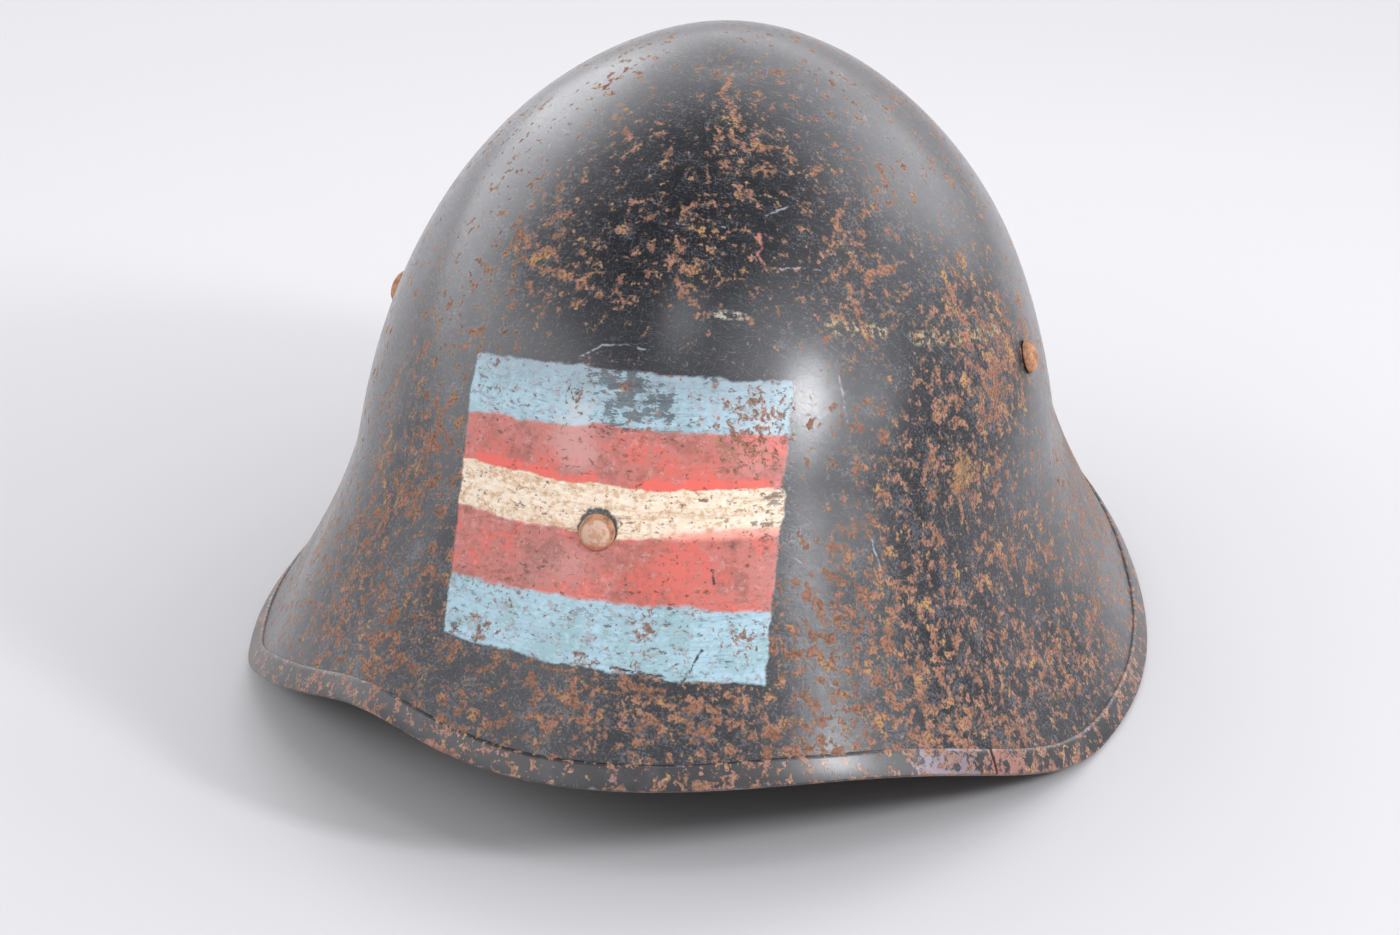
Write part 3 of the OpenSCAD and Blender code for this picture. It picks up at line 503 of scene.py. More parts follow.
# Sums up marks at the vertices of the shell's front, each fading out over its reach
def marksAt(points, marks):
    amount = np.zeros(len(points))
    for x, z, reach, more in marks:
        far = np.hypot(points[:, 0] / mm - x, points[:, 2] / mm - z) / reach
        amount += more * np.exp(-far ** 2) * (points[:, 1] < 0)
    return amount


def addLayer(piece, name, amount):
    layer = piece.data.attributes.new(name, "FLOAT", "POINT")
    layer.data.foreach_set("value", np.array(amount, dtype=np.float32))


def paintMarks(piece):
    points = np.array([v.co for v in piece.data.vertices])
    addLayer(piece, "rust", rustAt(points))
    layers = {"patchRust": patchRust, "wear": patchWear, "fade": patchFade, "fresh": patchFresh}
    for name, marks in layers.items():
        addLayer(piece, name, marksAt(points, marks))


# Rust as ragged islands: three sizes of noise over a level that the shell's own map lowers
def rustDepth(add, place, more):
    (groupSize, groupShare), (clusterSize, clusterShare) = corrosion["group"], corrosion["cluster"]
    speckSize, speckShare = corrosion["speck"]
    group = add("TexNoise", {}, place, 1 / groupSize, 2.0)
    cluster = add("TexNoise", {}, place, 1 / clusterSize, 3.0, 0.6, Distortion=0.2)
    speck = add("TexNoise", {}, place, 1 / speckSize, 2.0, 0.6)
    value = add("Math", times, group, groupShare)
    value = add("Math", timesPlus, cluster, clusterShare, value)
    value = add("Math", timesPlus, speck, speckShare, value)
    return add("Math", timesPlus, more, corrosion["gain"], value)


def rustMask(add, depth):
    low, high = corrosion["level"] - corrosion["soft"] / 2, corrosion["level"] + corrosion["soft"] / 2
    return add("MapRange", smooth, depth, low, high)


# Brown where it is thick, pinkish where it is thin, and yellow here and there
def rustColour(add, place):
    ramp = add("ValToRGB", {}, add("TexNoise", {}, place, 1 / corrosion["toneSize"], 4.0))
    stops = ramp.color_ramp.elements
    stops[0].position, stops[0].color = 0.38, hexColour(corrosion["brown"])
    stops[1].position, stops[1].color = 0.56, hexColour(corrosion["pink"])
    stops.new(0.68).color = hexColour(corrosion["ochre"])
    grain = add("TexNoise", {}, place, 1 / corrosion["crustSize"], 3.0)
    grain = add("MapRange", smooth, grain, 0.38, 0.56)
    return add("Mix", colours, grain, corrosion["dark"], ramp.outputs["Color"])


# Hairlines: the thin level lines of a noise that is drawn out along one direction
def hairlines(add, place, turn, stretch, size, width):
    turned = add("Mapping", {"vector_type": "TEXTURE"}, place, Rotation=turn, Scale=stretch)
    level = add("TexNoise", {}, turned, 1 / size, 1.0, Distortion=0.2)
    level = add("Math", minus, level, 0.5)
    level = add("Math", {"operation": "ABSOLUTE"}, level)
    return add("MapRange", smooth, level, width, 0.0)


# Three families of them on the enamel: which way they run, how far they are drawn out, size and width
hairlineRuns = [((0.4, 0.7, 0.3), (18.0, 1.0, 3.0), 1.6, 0.006),
                ((0.2, 0.3, 1.9), (14.0, 1.4, 2.0), 2.2, 0.005),
                ((1.3, 0.2, 0.8), (9.0, 1.0, 1.0), 1.2, 0.006)]


# One scratch after another through places on the shell in mm, broken and a little crooked; least is
# where its gaps begin in the noise, so a higher value breaks it more
def scratches(add, place, lines, width, least=0.38):
    uneven = add("TexNoise", {}, place, 1 / 2.5, 2.0).outputs["Color"]
    moved = add("VectorMath", timesPlus, uneven, (1.4, 1.4, 1.4), (-0.7, -0.7, -0.7))
    moved = add("VectorMath", plus, place, moved)
    mask = 0.0
    for start, end in [pair for line in lines for pair in zip(line, line[1:])]:
        along = Vector(end) - Vector(start)
        away = add("VectorMath", minus, moved, start)
        reach = add("VectorMath", dot, away, along).outputs["Value"]
        share = add("Math", timesClamped, reach, 1 / along.length_squared)
        foot = add("VectorMath", {"operation": "SCALE"}, along, Scale=share)
        far = add("VectorMath", distance, away, foot).outputs["Value"]
        mask = add("Math", larger, add("MapRange", smooth, far, width, width * 0.3), mask)
    gaps = add("TexNoise", {}, place, 1 / 1.6, 3.0, 0.7)
    gaps = add("MapRange", smooth, gaps, least, least + 0.12)
    return add("Math", times, mask, gaps)


# Old scratches that stand out, as lines of places on the shell in mm
paleScratches = [[(-11, -90, 119), (-6, -88.5, 122), (0, -88, 122.6), (5, -88.5, 122)],
                 [(33, -62, 136.6), (44, -54, 133.8)], [(27, -52, 146.4), (32, -46, 147.2)],
                 [(51, -71, 113), (53, -74, 107), (55, -76.5, 101)], [(48, -74, 110), (50, -78, 100)],
                 [(63.5, -85, 75), (66.7, -87, 68)], [(6, -62, 145.4), (18, -59.5, 144.8)]]
redScratches = [[(26.6, -57.3, 143), (28, -60, 141), (27.5, -62, 139.5), (29.5, -63.5, 137.5)]]
darkScratches = [[(25.4, -130.1, 51), (27.5, -127, 55), (29.3, -123.9, 58.4)],
                 [(29, -113, 75.5), (30, -114.5, 72.5)],
                 [(8, -131.6, 54.6), (21.6, -130, 53)], [(24.5, -128.5, 54.8), (28, -128, 55.2)],
                 [(-34.5, -118, 64), (-34.8, -121, 58)], [(-20, -120, 66.5), (-13, -121.5, 66)]]
# Yellow residue in two broken streaks and a round spot, and a bare chip: places in mm, and the reach
yellowStreaks = [[(47, -64, 122.8), (53, -60, 121), (58.5, -55, 119)],
                 [(65, -47, 114.5), (73, -36, 111), (82, -13, 105)]]
chipStreaks = [[(21, -77.8, 129), (25, -76.3, 128.8)], [(25, -76.3, 128.8), (27.4, -75.5, 128)]]
yellowSpot = [(79.7, -51.0, 81.2, 5.5)]


# Round spots with a ragged border
def blots(add, place, spots, ragged):
    rough = add("TexNoise", {}, place, 1 / 1.2, 4.0, 0.75)
    mask = 0.0
    for x, y, z, reach in spots:
        far = add("VectorMath", distance, place, (x, y, z)).outputs["Value"]
        edge = add("Math", times, far, 1 / reach)
        edge = add("Math", timesPlus, rough, ragged, edge)
        one = add("MapRange", smooth, edge, 0.9 + ragged / 2, 0.5 + ragged / 2)
        mask = add("Math", larger, one, mask)
    return mask


# The patch's colour, where it lies, and its brush marks
def paintedStripes(add, place):
    x, y, z = add("SeparateXYZ", {}, place).outputs
    stroke = add("VectorMath", times, place, (0.7, 0.2, 1.0))
    wander = add("TexNoise", {}, stroke, 1 / patch["strokeSize"], 7.0, 0.66)
    shift = add("MapRange", {}, wander, 0.35, 0.65, -patch["wobble"], patch["wobble"])
    # The patch's middle line leans: its place at a height of 115 mm, and its drift down from there
    lean, middleTop = patch["middleDrop"], patch["middleTop"]
    middle = add("Math", timesPlus, z, -lean, middleTop + 115 * lean)
    across = add("Math", minus, x, middle)
    share = add("Math", times, across, 1 / patch["halfWidth"])
    square = add("Math", times, share, share)

    def above(name, soft=0.35, rise=0.0):
        height, fall, tilt = patch[name]
        bent = add("Math", timesPlus, square, fall, z)
        bent = add("Math", timesPlus, share, -tilt, bent)
        bent = add("Math", plus, bent, shift)
        return add("MapRange", smooth, bent, height + rise - soft, height + rise + soft)

    # Bristles' lines run across, 0.5 to 2 mm apart
    bristle = add("VectorMath", times, place, (0.04, 0.06, 1.0))
    streaks = add("TexNoise", {}, bristle, 1 / patch["bristle"], 6.0, 0.75)
    cloud = add("TexNoise", {}, place, 1 / patch["cloudSize"], 5.0, 0.62)
    mottle = add("TexNoise", {}, place, 1 / patch["mottleSize"], 5.0, 0.68)
    drawn = add("VectorMath", times, place, (0.5, 0.5, 1.0))
    grain = add("TexNoise", {}, drawn, 1 / patch["grainSize"], 3.0)

    # Each tone: its pattern, the limits between which it comes in, how strong it is, and its colour
    def toned(colour, tones):
        for pattern, low, high, strength, tone in tones:
            amount = add("MapRange", smooth, pattern, low, high, 0.0, strength)
            colour = add("Mix", colours, amount, colour, tone)
        return colour

    blueTones = [(streaks, 0.45, 0.60, 0.8, patch["blueDeep"]), (cloud, 0.46, 0.60, 0.8, patch["blueTeal"]),
                 (mottle, 0.54, 0.64, 0.7, patch["blueStain"]), (streaks, 0.40, 0.33, 0.7, patch["blueWorn"]),
                 (grain, 0.58, 0.66, 0.6, patch["blueWorn"]), (grain, 0.42, 0.36, 0.4, patch["bluePale"])]
    redTones = [(cloud, 0.50, 0.62, 0.75, patch["redBrown"]), (cloud, 0.47, 0.38, 0.8, patch["redFresh"]),
                (mottle, 0.54, 0.62, 0.6, patch["redBrown"]), (mottle, 0.45, 0.36, 0.5, patch["redFaded"]),
                (grain, 0.56, 0.66, 0.6, patch["redBrown"]), (streaks, 0.42, 0.34, 0.5, patch["redBrown"]),
                (streaks, 0.58, 0.68, 0.4, patch["redFaded"])]
    creamTones = [(streaks, 0.48, 0.64, 0.6, patch["creamDull"]),
                  (mottle, 0.50, 0.62, 0.9, patch["creamDull"]),
                  (grain, 0.58, 0.66, 0.6, patch["creamStain"]), (grain, 0.44, 0.38, 0.5, patch["creamPale"])]
    blue, red = toned(patch["blue"], blueTones), toned(patch["red"], redTones)
    cream = toned(patch["creamLight"], creamTones)
    fade, fresh, wear = [add("Attribute", {"attribute_name": name}).outputs["Fac"]
                         for name in ("fade", "fresh", "wear")]
    faded = add("Math", timesPlus, mottle, 2.6, fade)
    fresher = add("Math", timesPlus, mottle, 2.2, fresh)
    red = toned(red, [(faded, 1.5, 2.5, 0.7, patch["redFaded"]),
                      (fresher, 1.35, 2.15, 1.0, patch["redFresh"])])
    # The upper blue stripe is greyer, most of all along its top
    high = add("Math", timesPlus, mottle, 22.0, z)
    blue = toned(blue, [(high, 112, 132, 0.75, patch["blueGrey"]),
                        (faded, 1.5, 2.5, 0.6, patch["blueFaded"])])

    colour = add("Mix", colours, above("lowerRed", 0.6), blue, red)
    colour = add("Mix", colours, above("cream", 0.45), colour, cream)
    # A coral smear on the right, where red and cream ran together
    smear = add("Math", minus, above("cream", 0.4, -0.6), above("cream", 1.0, 1.6))
    onRight = add("MapRange", smooth, x, 12, 24, 0.0, 0.8)
    smear = add("Math", times, smear, onRight)
    colour = add("Mix", colours, smear, colour, patch["coral"])
    colour = add("Mix", colours, above("upperRed", 0.3), colour, red)
    # The upper red was gone over once more along its lower edge
    edge = add("Math", minus, above("upperRed", 0.3), above("upperRed", 0.7, 2.0))
    again = add("MapRange", smooth, fresher, 1.2, 1.8, 0.1, 0.85)
    edge = add("Math", times, edge, again)
    colour = add("Mix", colours, edge, colour, patch["vermilion"])
    colour = add("Mix", colours, above("upperBlue", 0.5), colour, blue)

    # The patch's outline: its top and bottom, and sides that lean a little to the right
    side = add("Math", {"operation": "ABSOLUTE"}, across)
    room = add("Math", minus, patch["halfWidth"], side)
    room = add("Math", timesPlus, shift, patch["raggedness"], room)
    mask = add("MapRange", smooth, room, -0.35, 0.35)
    for part in (add("Math", {"operation": "LESS_THAN"}, y, 0.0),
                 add("Math", minus, 1.0, above("top")), above("bottom")):
        mask = add("Math", times, mask, part)

    # Chips drawn along the strokes, where the enamel shows, and thin places between the bristles' lines
    drawn = add("VectorMath", times, place, (0.4, 0.5, 1.0))
    chipped = add("TexNoise", {}, drawn, 1 / patch["chipSize"], 5.0, 0.7)
    chipped = add("Math", timesPlus, wear, 0.13, chipped)
    chipped = add("Math", timesPlus, cloud, 0.22, chipped)
    chipped = add("MapRange", smooth, chipped, 0.775, 0.735, 0.3, 1.0)
    mask = add("Math", times, mask, chipped)
    thin = add("Math", timesPlus, wear, 0.10, streaks)
    thin = add("MapRange", smooth, thin, 0.60, 0.76, 1.0, 0.5)
    mask = add("Math", times, mask, thin)
    return colour, mask, streaks


def agedEnamel():
    material, add, shader = newMaterial("black_enamel_sprayed_and_rusted")
    place = millimetres(add)
    more, breaking = [add("Attribute", {"attribute_name": name}).outputs["Fac"]
                      for name in ("rust", "patchRust")]
    haze = add("TexNoise", {}, place, 1 / enamel["hazeSize"], 4.0)
    dusty = add("MapRange", smooth, haze, 0.42, 0.75, 0.0, 0.15)
    colour = add("Mix", colours, dusty, enamel["black"], enamel["dust"])
    # Where the film is rubbed thin but hasn't rusted: dull grey-brown flecks, finer than the rust
    worn = add("TexNoise", {}, place, 1 / enamel["fleckSize"], 4.0, 0.72)
    gathered = add("TexNoise", {}, place, 1 / enamel["fleckGroup"], 4.0, 0.6)
    worn = add("Math", timesPlus, gathered, 0.5, worn)
    worn = add("Math", timesPlus, more, 0.13, worn)
    flecked = add("MapRange", smooth, worn, 0.84, 0.98, 0.0, 0.5)
    colour = add("Mix", colours, flecked, colour, enamel["fleck"])
    lines = 0.0
    for turn, stretch, size, width in hairlineRuns:
        lines = add("Math", larger, lines, hairlines(add, place, turn, stretch, size, width))
    faint = add("Math", times, lines, 0.25)
    colour = add("Mix", colours, faint, colour, enamel["hairline"])

    stripes, painted, streaks = paintedStripes(add, place)
    # The brush left bare steel and rust close round the rivet's head
    away = add("VectorMath", distance, place, patch["rivetPlace"]).outputs["Value"]
    ragged = add("TexNoise", {}, place, 1 / 2.2, 3.0)
    ragged = add("Math", timesPlus, ragged, 2.6, away)
    ragged = add("MapRange", smooth, ragged, *patch["rivetBare"])
    painted = add("Math", times, painted, ragged)
    colour = add("Mix", colours, painted, colour, stripes)
    colour = add("Mix", colours, scratches(add, place, darkScratches, 0.55), colour, patch["bare"])

    # The patch was painted over the rust, so only its own spots break through it
    spots = add("TexNoise", {}, place, 1 / patch["spotSize"], 5.0, 0.7)
    spots = add("Math", timesPlus, breaking, 0.115, spots)
    spots = add("MapRange", smooth, spots, 0.595, 0.645, 0.0, 0.9)
    depth = rustDepth(add, place, more)
    rust = add("Mix", numbers, painted, rustMask(add, depth), spots)
    # A thin brown stain lies round each island of rust, but not on the patch
    stainFrom = corrosion["level"] - corrosion["stainReach"]
    stain = add("MapRange", smooth, depth, stainFrom, corrosion["level"], 0.0, 0.5)
    stain = add("Math", times, stain, add("Math", minus, 1.0, painted))
    colour = add("Mix", colours, stain, colour, corrosion["stain"])
    colour = add("Mix", colours, rust, colour, rustColour(add, place))
    for mask, strength, tone in ((scratches(add, place, redScratches, 0.6), 1.0, enamel["redLine"]),
                                 (scratches(add, place, paleScratches, 0.42), 0.7, enamel["hairline"]),
                                 (scratches(add, place, yellowStreaks, 2.8, 0.5), 0.8, enamel["yellow"]),
                                 (blots(add, place, yellowSpot, 5.0), 0.4, enamel["amber"]),
                                 (scratches(add, place, chipStreaks, 1.5, 0.46), 0.7, enamel["pale"])):
        strong = add("Math", times, mask, strength)
        colour = add("Mix", colours, strong, colour, tone)
    smoothest, roughest = enamel["roughness"] - 0.05, enamel["roughness"] + 0.08
    satin = add("MapRange", smooth, haze, 0.35, 0.7, smoothest, roughest)
    rough = add("Math", timesPlus, painted, 0.06, satin)
    rough = add("Mix", numbers, rust, rough, corrosion["roughness"])
    coat = add("Math", timesPlus, painted, -patch["coatLoss"], 1.0)
    coat = add("Math", {**timesPlus, "use_clamp": True}, rust, -1.0, coat)
    # The film is dull where it has begun to rust
    dulled = add("MapRange", smooth, more, 0.35, 0.95, enamel["coat"], enamel["coat"] * 0.3)
    coat = add("Math", times, coat, dulled)

    # Relief: crusty rust, proud brush marks, and a scoured grain in the sprayed film
    crust = add("TexNoise", {}, place, 1 / corrosion["crustSize"], 3.0)
    crust = add("Math", times, crust, rust)
    height = add("TexNoise", {}, place, 1 / enamel["grainSize"], 3.0, 0.7)
    height = add("Math", times, height, 0.30)
    brushed = add("Math", times, streaks, painted)
    height = add("Math", timesPlus, brushed, 0.22, height)
    height = add("Math", timesPlus, crust, 0.7, height)
    height = add("Math", timesPlus, painted, 0.30, height)
    height = add("Math", timesPlus, lines, -0.06, height)
    bump = add("Bump", {}, Height=height, Distance=enamel["relief"] * mm, Strength=0.8)
    fillSockets(shader, BaseColor=colour, Roughness=rough, CoatWeight=coat, Normal=bump,
                CoatRoughness=enamel["coatRoughness"], IOR=enamel["ior"], CoatNormal=bump)
    return material


# The inside was painted too, and sweat has rusted it more evenly: dull, brown and black
insideCoat = {
    "black": "#1f1d1c", "brown": "#3b3029", "stainSize": 20.0, "rustBase": 0.15, "rustByStain": 0.55,
    "crustSize": 0.9, "roughness": 0.55, "rustRoughness": 0.92, "relief": 0.15,
}


def insideEnamel():
    material, add, shader = newMaterial("black_enamel_inside_dull_and_rusted")
    place = millimetres(add)
    stain = add("TexNoise", {}, place, 1 / insideCoat["stainSize"], 5.0)
    stain = add("MapRange", smooth, stain, 0.4, 0.65)
    more = add("Math", timesPlus, stain, insideCoat["rustByStain"], insideCoat["rustBase"])
    rust = rustMask(add, rustDepth(add, place, more))
    colour = add("Mix", colours, stain, insideCoat["black"], insideCoat["brown"])
    colour = add("Mix", colours, rust, colour, rustColour(add, place))
    rough = add("Mix", numbers, rust, insideCoat["roughness"], insideCoat["rustRoughness"])
    crust = add("TexNoise", {}, place, 1 / insideCoat["crustSize"], 4.0)
    crust = add("Math", times, crust, rust)
    bump = add("Bump", {}, Height=crust, Distance=insideCoat["relief"] * mm, Strength=0.7)
    fillSockets(shader, BaseColor=colour, Roughness=rough, Normal=bump)
    return material


# The folded strip: the same black enamel and rust, with more bare steel and rust at its edges: real wear
# round the folded bottom edge, and along the outer leaf's top edge lighter bare steel that is a painted
# highlight on the crease.
# Round the seam the paint has come off: bare steel with a violet cast on one side, pink primer with black
# flakes on the other. Angles are in degrees from the front to the wearer's left.
rimWear = {
    "bareFrom": 40, "bareTo": 50, "primerTo": 58, "soft": 4.0, "ragged": 10.0,
    "metal": "#857a84", "primer": "#96665c", "black": "#17171a", "cloudSize": 7.0, "flakeSize": 2.6,
    "rustBase": 0.66, "rustAtBare": 0.15, "rustAtPrimer": 0.10, "rustAtEdge": 0.25,
    "metallic": 0.5, "coat": 0.5, "coatRoughness": 0.25, "relief": 0.12,
}


def rimSteel():
    material, add, shader = newMaterial("folded_steel_strip_enamelled_and_worn")
    place = millimetres(add)
    x, y, _ = add("SeparateXYZ", {}, place).outputs
    edge = add("Attribute", {"attribute_name": "rub"}).outputs["Fac"]
    forward = add("Math", timesPlus, y, -1.0, centreY)
    turn = add("Math", {"operation": "ARCTAN2"}, x, forward)
    turn = add("Math", times, turn, 180 / math.pi)
    cloud = add("TexNoise", {}, place, 1 / rimWear["cloudSize"], 5.0, 0.65)
    flakes = add("TexNoise", {}, place, 1 / rimWear["flakeSize"], 5.0, 0.66)
    turn = add("Math", minus, turn, rimWear["ragged"] / 2)
    turn = add("Math", timesPlus, cloud, rimWear["ragged"], turn)
    steps = [add("MapRange", smooth, turn, rimWear[name] - rimWear["soft"], rimWear[name])
             for name in ("bareFrom", "bareTo", "primerTo")]
    bareZone = add("Math", minus, steps[0], steps[1])
    primerZone = add("Math", minus, steps[1], steps[2])
    bare = add("Math", timesPlus, bareZone, 0.20, flakes)
    # More bare steel at the edges: wear at the bottom fold, and a painted highlight along the top edge
    bare = add("Math", timesPlus, edge, 0.09, bare)
    bare = add("MapRange", smooth, bare, 0.65, 0.72)
    primer = add("Math", timesPlus, primerZone, 0.16, flakes)
    primer = add("MapRange", smooth, primer, 0.615, 0.645)
    dull = add("MapRange", smooth, cloud, 0.45, 0.7, 0.0, 0.4)
    colour = add("Mix", colours, dull, rimWear["black"], enamel["dust"])
    colour = add("Mix", colours, primer, colour, rimWear["primer"])
    colour = add("Mix", colours, bare, colour, rimWear["metal"])
    more = rimWear["rustBase"]
    for zone, added in ((bareZone, "rustAtBare"), (primerZone, "rustAtPrimer"), (edge, "rustAtEdge")):
        more = add("Math", timesPlus, zone, rimWear[added], more)
    rust = rustMask(add, rustDepth(add, place, more))
    colour = add("Mix", colours, rust, colour, rustColour(add, place))
    metal = add("Math", minusClamped, bare, rust)
    metal = add("Math", times, metal, rimWear["metallic"])
    rough = add("Mix", numbers, rust, enamel["roughness"], corrosion["roughness"])
    height = add("Math", timesPlus, primer, -0.5, rust)
    bump = add("Bump", {}, Height=height, Distance=rimWear["relief"] * mm, Strength=0.8)
    fillSockets(shader, BaseColor=colour, Metallic=metal, Roughness=rough, Normal=bump,
                CoatWeight=rimWear["coat"], CoatRoughness=rimWear["coatRoughness"])
    return material


# Forged steel rivet heads with their paint gone: warm rust with darker pits. The front one was
# painted over with the patch, and rust has come back round its edge.
rivetFinish = {
    "dark": "#875a41", "light": "#c08c68", "paint": "#d9b6a2", "pitSize": 1.8, "ragged": 1.6,
    "paintTo": (4.7, 4.1), "creamTo": (1.6, 2.6), "roughness": 0.7, "relief": 0.2,
}


def rustedRivet(name, painted):
    material, add, shader = newMaterial(name)
    place = millimetres(add)
    pits = add("TexNoise", {}, place, 1 / rivetFinish["pitSize"], 6.0, 0.66)
    dark = add("MapRange", smooth, pits, 0.38, 0.62)
    colour = add("Mix", colours, dark, rivetFinish["dark"], rivetFinish["light"])
    if painted:
        # The stripes' paint is kept in the middle: cream, and red on the lowest part
        x, _, z = add("SeparateXYZ", {}, place).outputs
        flat = add("CombineXYZ", {}, X=x, Z=z)
        middle = patch["rivetPlace"][2]
        away = add("VectorMath", distance, flat, (0.0, 0.0, middle)).outputs["Value"]
        edge = add("Math", timesPlus, pits, rivetFinish["ragged"], away)
        edge = add("MapRange", smooth, edge, *rivetFinish["paintTo"])
        kept = add("MapRange", smooth, pits, 0.57, 0.46, 0.15, 0.85)
        kept = add("Math", times, edge, kept)
        creamFrom, creamTo = rivetFinish["creamTo"]
        below = add("MapRange", smooth, z, middle - creamFrom, middle - creamTo)
        paint = add("Mix", colours, below, rivetFinish["paint"], patch["redFresh"])
        colour = add("Mix", colours, kept, colour, paint)
    bump = add("Bump", {}, Height=pits, Distance=rivetFinish["relief"] * mm, Strength=0.7)
    fillSockets(shader, BaseColor=colour, Roughness=rivetFinish["roughness"], Normal=bump)
    return material


# Spring steel and wire of the liner: phosphated grey, browned with age
springSteel = {
    "dark": "#4d4a47", "light": "#7c7770", "cloudSize": 9.0, "rust": 0.5, "metallic": 0.85,
    "roughness": 0.42, "rustRoughness": 0.85,
}


def linerSteel():
    material, add, shader = newMaterial("spring_steel_phosphated_and_browned")
    place = millimetres(add)
    rust = rustMask(add, rustDepth(add, place, springSteel["rust"]))
    cloud = add("TexNoise", {}, place, 1 / springSteel["cloudSize"], 5.0)
    colour = add("Mix", colours, cloud, springSteel["dark"], springSteel["light"])
    colour = add("Mix", colours, rust, colour, rustColour(add, place))
    metal = add("Math", minusClamped, springSteel["metallic"], rust)
    rough = add("Mix", numbers, rust, springSteel["roughness"], springSteel["rustRoughness"])
    fillSockets(shader, BaseColor=colour, Metallic=metal, Roughness=rough)
    return material


# Vegetable-tanned leather, dressed and long worn: pebbled grain about 1 mm across, soft creases, and
# darker stains where sweat and hands got to it. Each hide has its two tones, the sizes of its grain
# and creases in mm, and its roughness.
hides = {"pore": "#2a1a10", "rubbed": "#b08a62", "stainSize": 16.0, "relief": 0.25}
headbandHide = {"light": "#7d5535", "dark": "#4a2f1c", "grain": 0.9, "crease": 9.0, "roughness": 0.55}
leafHide = {"light": "#94683f", "dark": "#6a4527", "grain": 0.9, "crease": 6.0, "roughness": 0.6}
strapHide = {"light": "#5c3a24", "dark": "#3a2416", "grain": 0.7, "crease": 7.0, "roughness": 0.45}


def tannedLeather(name, hide):
    material, add, shader = newMaterial(name)
    place = millimetres(add)
    stain = add("TexNoise", {}, place, 1 / hides["stainSize"], 6.0)
    stain = add("MapRange", smooth, stain, 0.36, 0.64)
    colour = add("Mix", colours, stain, hide["dark"], hide["light"])
    pores = add("TexVoronoi", {"feature": "DISTANCE_TO_EDGE"}, place, Scale=1 / hide["grain"])
    folds = add("TexNoise", {}, place, 1 / hide["crease"], 5.0, 0.7, Distortion=0.8)
    pitted = add("MapRange", smooth, pores, 0.12, 0.0, 0.0, 0.4)
    colour = add("Mix", colours, pitted, colour, hides["pore"])
    rubbed = add("MapRange", smooth, folds, 0.60, 0.72, 0.0, 0.35)
    colour = add("Mix", colours, rubbed, colour, hides["rubbed"])
    rough = add("MapRange", {}, folds, 0.3, 0.7, hide["roughness"] - 0.12, hide["roughness"] + 0.15)
    height = add("Math", timesPlus, pores, 0.5, folds)
    bump = add("Bump", {}, Height=height, Distance=hides["relief"] * mm, Strength=0.7)
    fillSockets(shader, BaseColor=colour, Roughness=rough, Normal=bump)
    return material


# Grey wool felt, pressed from short fibres: dull and fuzzy, with stray lighter hairs
feltLook = {
    "dark": "#5f5a4e", "light": "#a39c88", "hair": 0.5, "roughness": 0.95, "sheen": 0.4, "relief": 0.3,
}


def woolFelt():
    material, add, shader = newMaterial("wool_felt_pressed")
    place = millimetres(add)
    along = add("VectorMath", times, place, (1.0, 1.0, 0.35))
    hairs = add("TexNoise", {}, along, 1 / feltLook["hair"], 4.0, 0.6, Distortion=2.0)
    colour = add("Mix", colours, hairs, feltLook["dark"], feltLook["light"])
    bump = add("Bump", {}, Height=hairs, Distance=feltLook["relief"] * mm, Strength=0.8)
    fillSockets(shader, BaseColor=colour, Roughness=feltLook["roughness"], Normal=bump,
                SheenWeight=feltLook["sheen"])
    return material


# Cotton lace and linen thread, plied and waxed: a tight slanting twist, off-white gone grey
laceYarn = {"light": "#c4b99f", "dark": "#7f745c", "ply": 0.9, "roughness": 0.9, "relief": 0.2}
threadYarn = {"light": "#b9a67f", "dark": "#7a6743", "ply": 0.45, "roughness": 0.9, "relief": 0.2}


def twistedYarn(name, yarn):
    material, add, shader = newMaterial(name)
    place, bands = millimetres(add), {"wave_type": "BANDS", "bands_direction": "DIAGONAL"}
    twist = add("TexWave", bands, place, 1 / yarn["ply"], 0.6, 2.0).outputs["Fac"]
    colour = add("Mix", colours, twist, yarn["dark"], yarn["light"])
    bump = add("Bump", {}, Height=twist, Distance=yarn["relief"] * mm, Strength=0.6)
    fillSockets(shader, BaseColor=colour, Roughness=yarn["roughness"], Normal=bump)
    return material


# Stamped brass: yellow where fingers polish it and brown in the hollows
brassLook = {"brown": "#5a452a", "yellow": "#c0a062", "cloudSize": 4.0, "dull": 0.6, "polished": 0.32}


def agedBrass():
    material, add, shader = newMaterial("brass_stamped_and_tarnished")
    place = millimetres(add)
    tarnish = add("TexNoise", {}, place, 1 / brassLook["cloudSize"], 6.0, 0.65)
    polished = add("MapRange", smooth, tarnish, 0.38, 0.64)
    colour = add("Mix", colours, polished, brassLook["brown"], brassLook["yellow"])
    rough = add("MapRange", {}, tarnish, 0.35, 0.7, brassLook["dull"], brassLook["polished"])
    fillSockets(shader, BaseColor=colour, Metallic=1.0, Roughness=rough)
    return material


enamelOutside, enamelInside, rimMaterial = agedEnamel(), insideEnamel(), rimSteel()
rivetRust = rustedRivet("forged_steel_rivet_rusted", False)
rivetPainted = rustedRivet("forged_steel_rivet_over_painted", True)
steel, brass, felt = linerSteel(), agedBrass(), woolFelt()
sweatLeather = tannedLeather("leather_headband_vegetable_tanned", headbandHide)
leafLeather = tannedLeather("leather_leaves_vegetable_tanned", leafHide)
strapLeather = tannedLeather("leather_strap_dressed_and_waxed", strapHide)
laceCotton = twistedYarn("cotton_lace_plied", laceYarn)
threadLinen = twistedYarn("linen_thread_waxed", threadYarn)
note("materials")

makeShell(enamelOutside, enamelInside)
makeRim(rimMaterial)
note("shell and rim")


